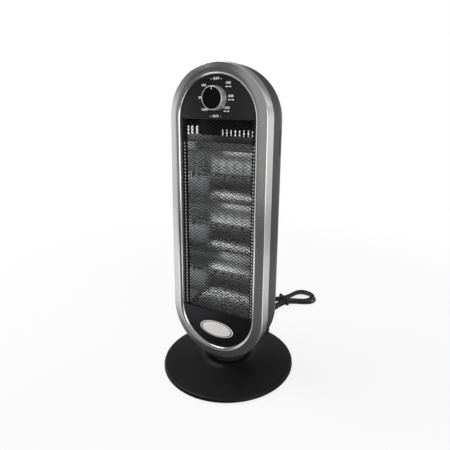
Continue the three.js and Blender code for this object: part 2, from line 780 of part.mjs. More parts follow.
// Side step of the pin from the middle of the slot, with crank and body turning in proportion
function pinDrift() {
  let drift = 0;
  for (let i = 0; i <= 50; i++) {
    const swing = radians(swingLimit) * i / 50;
    const crank = radians(crankTurnLimit) * i / 50;
    const x = crankThrow * Math.sin(crank);
    const y = crankCentre + crankThrow * Math.cos(crank);
    drift = Math.max(drift, Math.abs(x * Math.cos(swing) - y * Math.sin(swing)));
  }
  return drift;
}

const slotHalf = crankPinRadius + pinDrift() + 0.5;
const slotNear = Math.sqrt(crankCentre ** 2 - crankThrow ** 2) - crankPinRadius - 1;
const slotFar = crankCentre + crankThrow + crankPinRadius + 1;
const bossOuter = postRadius + seatGap + armEdge;

piece('swing_arm', cut(
  join(cylinderZ(bossOuter, armZ, armZ + armThickness),
    box(-slotHalf - armEdge, slotHalf + armEdge, -slotFar - armEdge, 0, armZ, armZ + armThickness)),
  cylinderZ(postRadius + seatGap, armZ - overshoot, armZ + armThickness + overshoot),
  box(-slotHalf, slotHalf, -slotFar, -slotNear, armZ - overshoot, armZ + armThickness + overshoot),
), zincSteel);
piece('post_nut', turned([
  [postRadius + seatGap, armZ + armThickness], [nutRadius, armZ + armThickness],
  [nutRadius, armZ + armThickness + nutHeight], [postRadius + seatGap, armZ + armThickness + nutHeight],
  [postRadius + seatGap, armZ + armThickness],
], 24), zincSteel);

const motorBottom = swivelPlateZ + sheet * 2;
piece('motor_crank', join(
  cylinderZ(crankHubRadius, crankZ, crankZ + crankThickness, 0, -crankCentre, 20),
  box(-crankPinRadius - 1.5, crankPinRadius + 1.5, -crankCentre - crankThrow, -crankCentre,
    crankZ, crankZ + crankThickness),
  cylinderZ(crankPinRadius + 1.5, crankZ, crankZ + crankThickness, 0, -crankCentre - crankThrow, 16),
  cylinderZ(crankPinRadius, armZ - 0.5, crankZ + 1, 0, -crankCentre - crankThrow, 16),
  cylinderZ(crankStubRadius, crankZ + 1, motorBottom + stubInMotor - seatGap, 0, -crankCentre, 16),
), zincSteel);

const plateReach = Math.sqrt(
  ((bodyRadius - shellWall - shellInsetAt(swivelPlateBackY)) * facet) ** 2
  - (lowerArcZ - swivelPlateZ) ** 2) - seatGap;
piece('swivel_plate', cut(
  box(-plateReach, plateReach, lipBackY + seatGap, swivelPlateBackY, swivelPlateZ, motorBottom),
  cylinderZ(crankStubRadius + 0.6, armZ, motorBottom + overshoot, 0, -crankCentre, 16),
  cylinderZ(postBore, armZ, motorBottom + overshoot, 0, 0, 20)), zincSteel);
piece('oscillation_motor', cut(
  cylinderZ(motorRadius, motorBottom, motorBottom + motorHeight, 0, motorOffset - crankCentre),
  cylinderZ(crankStubRadius + seatGap, armZ, motorBottom + stubInMotor, 0, -crankCentre, 16)), zincSteel);
piece('terminal_block', box(terminalX - terminalSize[0] / 2, terminalX + terminalSize[0] / 2,
  -terminalSize[1] / 2, terminalSize[1] / 2, motorBottom, motorBottom + terminalSize[2]), creamPlastic);

// ---- Cord: strain relief, lead, hank, tail and plug, all lying on the floor ----
const cordRadius = cordDiameter / 2;
const cordZ = cordRadius + 0.05;
const reliefStart = baseRadius + 2 * seatGap;
const reliefTip = noseEnd + reliefLength;

function reliefGeometry() {
  const profile = [
    [0, reliefStart], [reliefRadius, reliefStart], [reliefRadius, noseEnd + 1],
    [reliefTipRadius, reliefTip], [0, reliefTip],
  ].map(([r, h]) => new THREE.Vector2(r, h));
  return atOutlet(new THREE.LatheGeometry(profile, 16).translate(0, 0, reliefZ));
}

const hankAlong = new THREE.Vector3(Math.cos(radians(hankAngle)), Math.sin(radians(hankAngle)), 0);
const hankAcross = new THREE.Vector3(-hankAlong.y, hankAlong.x, 0);
const reverseTurn = 4 * Math.PI; // the spiral turns outwards here, after two loops
const hankStart = -radians(hankStartTurn);
const hankEnd = 7 * Math.PI + radians(hankStartTurn);

function inHank(along, across, z) {
  return new THREE.Vector3(hankX, reliefTip + hankReach, z)
    .addScaledVector(hankAlong, along).addScaledVector(hankAcross, across);
}

// The loops spiral in over two turns, climb a layer, and spiral out over one and a half
function hankPoint(turn) {
  const step = Math.abs(turn - reverseTurn) / (2 * Math.PI);
  const [s, c] = [Math.sin(turn), Math.cos(turn)];
  const along = (hankHalfLength + loopPitch * step) * s;
  const flare = 1 - c ** 4;
  const across = c * (hankWaist + strandPitch * step + (hankBelly + bellyPitch * step) * flare);
  const climb = THREE.MathUtils.smoothstep(turn, reverseTurn - Math.PI / 2, reverseTurn + Math.PI / 2);
  const tieLift = (tieThickness + tieGap) * Math.max(0, 1 - (along / liftReach) ** 2) ** 2;
  return inHank(along, across, cordZ + layerHeight * climb + tieLift);
}

function hankPoints() {
  const steps = Math.round((hankEnd - hankStart) / radians(hankStep));
  const points = [];
  for (let i = 0; i <= steps; i++) points.push(hankPoint(hankStart + (hankEnd - hankStart) * i / steps));
  const nudge = radians(2);
  const first = hankPoint(hankStart - nudge).sub(points[0]).setZ(0);
  const last = hankPoint(hankEnd + nudge).sub(points[steps]).setZ(0);
  return [
    first.setLength(cordDiameter).add(points[0]), ...points,
    last.setLength(cordDiameter).add(points[steps]),
  ];
}

function tubeRows(points, sides, radius) {
  const up = new THREE.Vector3(0, 0, 1);
  return points.map((point, i) => {
    const ahead = points[Math.min(i + 1, points.length - 1)];
    const behind = points[Math.max(i - 1, 0)];
    const tangent = ahead.clone().sub(behind).normalize();
    const side = up.clone().cross(tangent).normalize();
    const top = tangent.clone().cross(side);
    return Array.from({ length: sides }, (_, j) => {
      const angle = 2 * Math.PI * j / sides;
      return point.clone().addScaledVector(side, radius * Math.cos(angle))
        .addScaledVector(top, radius * Math.sin(angle)).toArray();
    });
  });
}

// Least distance between two turns, less the cord's diameter. Each step of the hank is divided, and
// points less than four steps apart count as the same strand.
function leastGap(points) {
  const parts = 9;
  const fine = points.slice(1).flatMap((point, i) =>
    Array.from({ length: parts }, (_, j) => points[i].clone().lerp(point, j / parts)));
  let least = Infinity;
  for (let i = 0; i < fine.length; i++) {
    for (let j = i + 4 * parts; j < fine.length; j++) least = Math.min(least, fine[i].distanceTo(fine[j]));
  }
  return least - cordDiameter;
}

const hank = hankPoints();
console.log(`least gap between the hank's turns: ${leastGap(hank).toFixed(2)} mm`);

function cordTube(points, steps) {
  const shape = new THREE.Shape();
  shape.absarc(0, 0, cordRadius, 0, 2 * Math.PI, false);
  const extrudePath = new THREE.CatmullRomCurve3(points);
  return new THREE.ExtrudeGeometry(shape, { steps, extrudePath, curveSegments: 5 });
}

function outletPoint(reach, z) {
  return new THREE.Vector3(0, reach, z).applyAxisAngle(new THREE.Vector3(0, 0, 1), outletTurn);
}

// The lead runs onto the top of the hank, and the tail leaves it at the floor on the far side
function beyond(end, before, distance) {
  return end.clone().sub(before).setLength(distance).add(end);
}

const [hankTop, belowTop] = [hank[hank.length - 1], hank[hank.length - 2]];
const topZ = cordZ + layerHeight;
const leadRoute = [
  outletPoint(reliefTip + 2 * seatGap, reliefZ), outletPoint(reliefTip + 7, 6.4),
  new THREE.Vector3(16.6, reliefTip + 19, 4), new THREE.Vector3(12.9, reliefTip + 31.5, cordZ),
  new THREE.Vector3(8.5, reliefTip + 43, cordZ),
  inHank(-66.1, -48, 3.2), inHank(-59.6, -41.3, 5.1), inHank(-52.5, -35.8, 8.4),
  inHank(-45, -31.1, topZ + 0.1), inHank(-37.2, -27.2, topZ),
  beyond(hankTop, belowTop, cordDiameter), beyond(hankTop, belowTop, seatGap),
];
const plugTailZ = plugHeight / 2;
const plugAlong = -104;
const plugAcross = 48;
const tailRoute = [
  beyond(hank[0], hank[1], seatGap), beyond(hank[0], hank[1], cordDiameter),
  inHank(-38, 32, cordZ), inHank(-49, 38.5, cordZ), inHank(-60, 44, cordZ),
  inHank(-71, 47.4, cordZ), inHank(-82, 48.2, 4.4), inHank(-91, 48, 6.6),
  inHank(-98, plugAcross, plugTailZ), inHank(plugAlong + seatGap, plugAcross, plugTailZ),
];

piece('strain_relief', reliefGeometry(), blackRubber);
piece('cord_lead', cordTube(leadRoute, 14), blackRubber);
piece('cord_hank', skin(tubeRows(hank, 6, cordRadius), false), blackRubber);
piece('cord_tail', cordTube(tailRoute, 10), blackRubber);

// A band round all the strands at the waist of the hank
function tieGeometry() {
  const right = -(hankWaist + 1.5 * strandPitch) - cordRadius - tieGap;
  const left = hankWaist + 2 * strandPitch + cordRadius + tieGap;
  const top = cordZ + tieThickness + tieGap + layerHeight + cordRadius + tieGap;
  const outline = (grow) => [
    [right - grow, tieThickness - grow], [left + grow, tieThickness - grow],
    [left + grow, top + grow], [right - grow, top + grow],
  ];
  const shape = shapeOf(outline(tieThickness));
  shape.holes.push(new THREE.Path(outline(0).map(([x, y]) => new THREE.Vector2(x, y))));
  const turn = new THREE.Matrix4().makeBasis(hankAcross, new THREE.Vector3(0, 0, 1), hankAlong);
  return new THREE.ExtrudeGeometry(shape, { depth: tieWidth, bevelEnabled: false })
    .translate(0, 0, -tieWidth / 2).applyMatrix4(turn).translate(hankX, reliefTip + hankReach, 0);
}

piece('cord_tie', tieGeometry(), blackRubber);

// The plug lies flat beside the hank; its own length runs back along the hank
const plugShape = shapeOf([
  [0, -plugNeck / 2], [plugLength * 0.3, -plugNeck / 2], [plugLength * 0.55, -plugWidth / 2],
  [plugLength, -plugWidth / 2], [plugLength, plugWidth / 2], [plugLength * 0.55, plugWidth / 2],
  [plugLength * 0.3, plugNeck / 2], [0, plugNeck / 2],
]);
const plugTurn = radians(hankAngle + 180);
const plugPlace = inHank(plugAlong, plugAcross, 0);

function atPlug(geometry) {
  return geometry.rotateZ(plugTurn).translate(plugPlace.x, plugPlace.y, 0);
}

piece('plug_body', atPlug(slab(plugShape, 0, plugHeight)), blackRubber);
[-1, 1].forEach((side, i) => {
  const pin = cylinderX(pinRadius, plugLength, plugLength + pinLength, side * pinSpacing / 2, plugTailZ, 12);
  piece(`plug_pin_${i + 1}`, atPlug(pin), brassPins);
});

export default heater;
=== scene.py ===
import math

import bmesh
import bpy
from mathutils import Matrix, Vector


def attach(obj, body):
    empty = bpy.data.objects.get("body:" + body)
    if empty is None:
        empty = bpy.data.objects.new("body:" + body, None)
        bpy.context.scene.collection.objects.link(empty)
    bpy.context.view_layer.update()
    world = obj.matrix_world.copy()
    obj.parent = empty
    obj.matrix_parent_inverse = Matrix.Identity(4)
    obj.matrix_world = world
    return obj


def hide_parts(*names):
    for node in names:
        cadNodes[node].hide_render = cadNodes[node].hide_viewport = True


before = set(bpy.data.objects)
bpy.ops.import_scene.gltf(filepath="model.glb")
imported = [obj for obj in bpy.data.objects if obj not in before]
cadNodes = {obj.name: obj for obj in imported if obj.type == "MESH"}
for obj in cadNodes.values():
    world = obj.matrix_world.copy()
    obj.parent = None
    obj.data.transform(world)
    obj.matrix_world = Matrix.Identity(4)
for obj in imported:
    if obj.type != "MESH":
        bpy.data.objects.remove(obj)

# Halogen heater. Metres, Z up. The origin is the centre of the base on the floor,
# the front faces -Y, and +X is on the right as seen from the front.
mm = 0.001
fullTurn = 2 * math.pi
radians = math.radians
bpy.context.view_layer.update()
scene = bpy.context.scene
scene.view_settings.view_transform = "Standard"

# ---- camera, light and floor

camera = {
    "place": (365.5 * mm, -666.9 * mm, 524.2 * mm),
    "azimuth": radians(-25.79),  # from +Y towards +X
    "elevation": radians(-13.06),
    "roll": radians(1.148),
    "focalPixels": 395.15,
    "centrePixel": (249.8, 203.4),  # where the lens axis meets the picture
    "picture": 450,
    "sensor": 36,
    "clip": (10 * mm, 50),
}


def newObject(name, data):
    made = bpy.data.objects.new(name, data)
    scene.collection.objects.link(made)
    return made


def makeCamera(spec):
    az, el = spec["azimuth"], spec["elevation"]
    ahead = Vector((math.sin(az) * math.cos(el), math.cos(az) * math.cos(el), math.sin(el)))
    level = ahead.cross(Vector((0, 0, 1))).normalized()
    upright = level.cross(ahead)
    right = level * math.cos(spec["roll"]) + upright * math.sin(spec["roll"])
    up = upright * math.cos(spec["roll"]) - level * math.sin(spec["roll"])
    data = bpy.data.cameras.new("photoCamera")
    data.sensor_width = spec["sensor"]
    data.lens = spec["focalPixels"] * spec["sensor"] / spec["picture"]
    data.shift_x = 0.5 - spec["centrePixel"][0] / spec["picture"]
    data.shift_y = spec["centrePixel"][1] / spec["picture"] - 0.5
    data.clip_start, data.clip_end = spec["clip"]
    scene.camera = newObject("photoCamera", data)
    turn = Matrix((right, up, -ahead)).transposed().to_4x4()
    scene.camera.matrix_world = Matrix.Translation(spec["place"]) @ turn


studioLights = [
    {"name": "keyLamp", "place": (-1.25, -0.45, 2.3), "size": 1.5, "power": 27},
    {"name": "rightLamp", "place": (1.75, -1.05, 0.4), "size": 1.1, "power": 9},
    {"name": "leftLamp", "place": (-2.0, 0.2, 0.5), "size": 0.9, "power": 4},
    {"name": "backLamp", "place": (1.2, 1.6, 1.5), "size": 1.1, "power": 3},
]
lightTarget = Vector((0, 0, 0.3))


def makeLight(spec):
    data = bpy.data.lights.new(spec["name"], "AREA")
    data.shape, data.size, data.energy = "SQUARE", spec["size"], spec["power"]
    place = Vector(spec["place"])
    aim = (lightTarget - place).to_track_quat("-Z", "Y").to_matrix().to_4x4()
    newObject(spec["name"], data).matrix_world = Matrix.Translation(place) @ aim


def addNode(tree, kind, values=(), **settings):
    node = tree.nodes.new(kind)
    for key, value in settings.items():
        setattr(node, key, value)
    for key, value in dict(values).items():
        node.inputs[key].default_value = value
    return node


def feed(tree, socket, value):
    # another node's socket is linked, a constant is set
    if isinstance(value, bpy.types.NodeSocket):
        tree.links.new(value, socket)
    else:
        socket.default_value = value


def calculate(tree, operation, first, second):
    node = addNode(tree, "ShaderNodeMath", operation=operation)
    feed(tree, node.inputs[0], first)
    feed(tree, node.inputs[1], second)
    return node.outputs[0]


def product(tree, first, *others):
    for other in others:
        first = calculate(tree, "MULTIPLY", first, other)
    return first


def restOf(tree, amount):
    return calculate(tree, "SUBTRACT", 1, amount)


def rayKinds(tree):
    rays = addNode(tree, "ShaderNodeLightPath").outputs
    mirrored = calculate(tree, "MAXIMUM", rays["Is Glossy Ray"], rays["Is Transmission Ray"])
    return rays["Is Camera Ray"], mirrored


studio = {
    "ambient": 0.6,
    # what gloss finds: a pale room with a dim wedge in front, measured round from -Y towards -X
    "wallWedge": (radians(-75), radians(-60), radians(43), radians(55)), "wallTone": (0.39, 0.05),
    "nearWedge": (radians(-60), radians(-45), radians(18), radians(30)), "nearTone": (0.06, 0.06),
    "toneTurn": (radians(6), radians(28)), "lean": 0.4,
    # these are ramps: from, to, and the values at the two ends
    "ceilingLeft": (-0.42, -0.15, 1, 0), "ceilingBack": (0, 0.3, 0, 1), "ceilingRise": (0.05, 0.3, 0, 1),
    "belowEye": (-0.25, 0, 0.7, 1),
    # in gloss the floor has a painted shadow close to the base, a painted pool of light round it except on
    # the left, and is plain further out
    "floorPaintedShadow": (0.16, 0.44, 0.15, 1), "floorPaintedPool": (0.65, 0.9, 0.6, 0),
    "paintedPoolTurn": (radians(38), radians(58), 1, 0), "floorFar": (0.75, 1.1, 1, 0),
    "floorBack": (-0.15, 0.1, 1, 0.5), "floorGlow": (0.5, 1.35, 0.8, 1),
    "ceilingTone": 0.22, "floorReach": 1.5, "floorColor": (0.86, 0.86, 0.86, 1),
}


def ramp(tree, value, low, high, atLow, atHigh):
    ends = {"From Min": low, "From Max": high, "To Min": atLow, "To Max": atHigh}
    span = addNode(tree, "ShaderNodeMapRange", ends, interpolation_type="SMOOTHSTEP")
    tree.links.new(value, span.inputs["Value"])
    return span.outputs[0]


def turnOf(tree, axes):
    return calculate(tree, "ARCTAN2", product(tree, axes[0], -1), product(tree, axes[1], -1))


def roomTone(tree, axes, wedge, tones, spec):
    # one outside the dim wedge; inside it the two tones, on its right and on its left
    turn = turnOf(tree, axes)
    leaning = calculate(tree, "SUBTRACT", turn, product(tree, axes[2], spec["lean"]))
    right = ramp(tree, turn, *wedge[:2], 1, 0)
    left = ramp(tree, leaning, *wedge[2:], 0, 1)
    tone = ramp(tree, turn, *spec["toneTurn"], *tones)
    return lifted(tree, tone, calculate(tree, "MAXIMUM", right, left))


def lifted(tree, tone, amount):
    # tone, raised towards one by amount
    return calculate(tree, "ADD", product(tree, tone, restOf(tree, amount)), amount)


def makeWorld(spec):
    # white behind the heater; its gloss also finds the dim front of the room
    world = bpy.data.worlds.new("studioWorld")
    scene.world = world
    world.use_nodes = True
    world.cycles.sampling_method = "NONE"  # the world is smooth, and ray kinds differ in it
    tree = world.node_tree
    tree.nodes.clear()
    direction = addNode(tree, "ShaderNodeTexCoord").outputs["Generated"]
    split = addNode(tree, "ShaderNodeSeparateXYZ")
    tree.links.new(direction, split.inputs[0])
    axes = split.outputs
    walls = roomTone(tree, axes, spec["wallWedge"], spec["wallTone"], spec)
    away = calculate(tree, "MAXIMUM", ramp(tree, axes[0], *spec["ceilingLeft"]),
                     ramp(tree, axes[1], *spec["ceilingBack"]))
    ceiling = product(tree, away, ramp(tree, axes[2], *spec["ceilingRise"]))
    overhead = restOf(tree, product(tree, ceiling, 1 - spec["ceilingTone"]))
    room = product(tree, walls, overhead, ramp(tree, axes[2], *spec["belowEye"]))
    straight, mirrored = rayKinds(tree)
    seen = calculate(tree, "MAXIMUM", straight, product(tree, mirrored, room))
    neither = restOf(tree, calculate(tree, "MAXIMUM", straight, mirrored))
    strength = calculate(tree, "ADD", seen, product(tree, neither, spec["ambient"]))
    light = addNode(tree, "ShaderNodeBackground", {"Color": (1, 1, 1, 1)})
    tree.links.new(strength, light.inputs["Strength"])
    tree.links.new(light.outputs[0], addNode(tree, "ShaderNodeOutputWorld").inputs[0])


def makeFloor(spec):
    material = bpy.data.materials.new("paleFloor")
    material.use_nodes = True
    material.cycles.emission_sampling = "NONE"
    tree = material.node_tree
    tree.nodes.clear()
    plain = addNode(tree, "ShaderNodeBsdfDiffuse", {"Color": spec["floorColor"]})
    glow = addNode(tree, "ShaderNodeEmission", {"Color": (1, 1, 1, 1)})
    place = addNode(tree, "ShaderNodeTexCoord").outputs["Object"]
    reach = addNode(tree, "ShaderNodeVectorMath", operation="LENGTH")
    tree.links.new(place, reach.inputs[0])
    distance = reach.outputs["Value"]
    split = addNode(tree, "ShaderNodeSeparateXYZ")
    tree.links.new(place, split.inputs[0])
    far, near = [roomTone(tree, split.outputs, spec[wedge], spec[tones], spec)
                 for wedge, tones in (("wallWedge", "wallTone"), ("nearWedge", "nearTone"))]
    far = lifted(tree, far, ramp(tree, distance, *spec["floorFar"]))
    # what gloss finds of the floor holds a painted pool of light round the base and a painted shadow close to
    # it
    paintedPool = product(tree, ramp(tree, distance, *spec["floorPaintedPool"]),
                     ramp(tree, turnOf(tree, split.outputs), *spec["paintedPoolTurn"]))
    room = product(tree, far, near, calculate(tree, "ADD", paintedPool, 1),
                   ramp(tree, distance, *spec["floorPaintedShadow"]),
                   ramp(tree, split.outputs[1], *spec["floorBack"]))
    straight, mirrored = rayKinds(tree)
    shown = calculate(tree, "MAXIMUM", straight, product(tree, mirrored, room))
    tree.links.new(shown, glow.inputs["Strength"])
    glowing = product(tree, straight, ramp(tree, distance, *spec["floorGlow"]))
    mix = addNode(tree, "ShaderNodeMixShader")
    tree.links.new(calculate(tree, "MAXIMUM", glowing, mirrored), mix.inputs[0])
    tree.links.new(plain.outputs[0], mix.inputs[1])
    tree.links.new(glow.outputs[0], mix.inputs[2])
    tree.links.new(mix.outputs[0], addNode(tree, "ShaderNodeOutputMaterial").inputs[0])
    bm = bmesh.new()
    bmesh.ops.create_circle(bm, cap_ends=True, segments=96, radius=spec["floorReach"])
    mesh = bpy.data.meshes.new("paleFloor")
    bm.to_mesh(mesh)
    mesh.materials.append(material)
    newObject("paleFloor", mesh)


makeCamera(camera)
for light in studioLights:
    makeLight(light)
makeWorld(studio)
makeFloor(studio)
print("camera, lights and floor are up")

# ---- finishes


def newGroup(name, inputs, outputs):
    group = bpy.data.node_groups.new(name, "ShaderNodeTree")
    for direction, sockets in (("INPUT", inputs), ("OUTPUT", outputs)):
        for socketName, kind, value in sockets:
            socket = group.interface.new_socket(name=socketName, in_out=direction,
                                                socket_type="NodeSocket" + kind)
            if value is not None:
                socket.default_value = value
    entry = addNode(group, "NodeGroupInput")
    leave = addNode(group, "NodeGroupOutput")
    return group, entry.outputs, leave.inputs


def makeMottle():
    # broad, soft patches and a fine grain on top, both from the piece's own coordinates
    group, given, result = newGroup(
        "softMottle",
        [("Patch Scale", "Float", 40.0), ("Grain Scale", "Float", 900.0), ("Stretch", "Vector", (1, 1, 1))],
        [("Patches", "Float", None), ("Grain", "Float", None)])
    place = addNode(group, "ShaderNodeTexCoord")
    stretch = addNode(group, "ShaderNodeMapping")
    group.links.new(place.outputs["Object"], stretch.inputs["Vector"])
    group.links.new(given["Stretch"], stretch.inputs["Scale"])
    for scaleName, outName, detail in (("Patch Scale", "Patches", 3), ("Grain Scale", "Grain", 2)):
        noise = addNode(group, "ShaderNodeTexNoise", {"Detail": detail, "Roughness": 0.55})
        group.links.new(stretch.outputs[0], noise.inputs["Vector"])
        group.links.new(given[scaleName], noise.inputs["Scale"])
        group.links.new(noise.outputs["Fac"], result[outName])
    return group


def makeFlakes():
    # small cells of random brightness, as in metallic paint or spangled zinc
    group, given, result = newGroup(
        "metalFlakes", [("Cell Scale", "Float", 2500.0)], [("Flakes", "Float", None)])
    place = addNode(group, "ShaderNodeTexCoord")
    cells = addNode(group, "ShaderNodeTexVoronoi")
    group.links.new(place.outputs["Object"], cells.inputs["Vector"])
    group.links.new(given["Cell Scale"], cells.inputs["Scale"])
    split = addNode(group, "ShaderNodeSeparateColor")
    group.links.new(cells.outputs["Color"], split.inputs[0])
    group.links.new(split.outputs[0], result["Flakes"])
    return group


def makeDust():
    # what settles on faces that look up, broken up by noise
    group, given, result = newGroup(
        "settledDust", [("Amount", "Float", 0.1)], [("Dust", "Float", None)])
    normal = addNode(group, "ShaderNodeNewGeometry")
    split = addNode(group, "ShaderNodeSeparateXYZ")
    group.links.new(normal.outputs["Normal"], split.inputs[0])
    place = addNode(group, "ShaderNodeTexCoord")
    noise = addNode(group, "ShaderNodeTexNoise", {"Scale": 55.0, "Detail": 6.0})
    group.links.new(place.outputs["Object"], noise.inputs["Vector"])
    facingUp = calculate(group, "MAXIMUM", split.outputs[2], 0.0)
    group.links.new(product(group, facingUp, noise.outputs["Fac"], given["Amount"]), result["Dust"])
    return group


softMottle, metalFlakes, settledDust = makeMottle(), makeFlakes(), makeDust()
dustColor = (0.45, 0.43, 0.4, 1)
noiseSpan = (0.3, 0.7)  # where most of the noise lies
flakeShare = 0.6


def mixColor(tree, amount, first, second):
    mix = addNode(tree, "ShaderNodeMix", data_type="RGBA")
    for socket, value in ((mix.inputs["Factor"], amount), (mix.inputs[6], first), (mix.inputs[7], second)):
        feed(tree, socket, value)
    return mix.outputs[2]


def mapRange(tree, value, low, high):
    ends = {"From Min": noiseSpan[0], "From Max": noiseSpan[1], "To Min": low, "To Max": high}
    span = addNode(tree, "ShaderNodeMapRange", ends)
    tree.links.new(value, span.inputs["Value"])
    return span.outputs[0]


finishes = {}


def makeFinish(name, look):
    material = bpy.data.materials.new(name)
    material.use_nodes = True
    tree = material.node_tree
    shader = tree.nodes["Principled BSDF"]
    mottle = addNode(tree, "ShaderNodeGroup", node_tree=softMottle)
    for socket, key, usual in (("Patch Scale", "patchScale", 30), ("Grain Scale", "grainScale", 1200),
                               ("Stretch", "stretch", (1, 1, 1))):
        mottle.inputs[socket].default_value = look.get(key, usual)
    dark, light = [(*color, 1) for color in look["colors"]]
    amount = mapRange(tree, mottle.outputs["Patches"], 0, 1)
    if "flakeScale" in look:
        flakes = addNode(tree, "ShaderNodeGroup", node_tree=metalFlakes)
        flakes.inputs["Cell Scale"].default_value = look["flakeScale"]
        amount = calculate(tree, "ADD", product(tree, amount, 1 - flakeShare),
                           product(tree, flakes.outputs[0], flakeShare))
    color = mixColor(tree, amount, dark, light)
    if "dust" in look:
        dust = addNode(tree, "ShaderNodeGroup", node_tree=settledDust)
        dust.inputs["Amount"].default_value = look["dust"]
        color = mixColor(tree, dust.outputs[0], color, dustColor)
    tree.links.new(color, shader.inputs["Base Color"])
    tree.links.new(mapRange(tree, mottle.outputs["Grain"], *look["roughness"]), shader.inputs["Roughness"])
    for socket, key in (("Metallic", "metallic"), ("Coat Weight", "coat"), ("IOR", "ior"),
                        ("Coat Roughness", "coatRoughness"), ("Specular IOR Level", "specular"),
                        ("Transmission Weight", "transmission")):
        if key in look:
            shader.inputs[socket].default_value = look[key]
    grain = {"Strength": look.get("bump", 0.3), "Distance": look["grainDepth"]}
    bump = addNode(tree, "ShaderNodeBump", grain)
    tree.links.new(mottle.outputs["Grain"], bump.inputs["Height"])
    tree.links.new(bump.outputs[0], shader.inputs["Normal"])
    finishes[name] = (material, look["slot"])


def greys(dark, light):
    return [(dark, dark, dark), (light, light, light)]


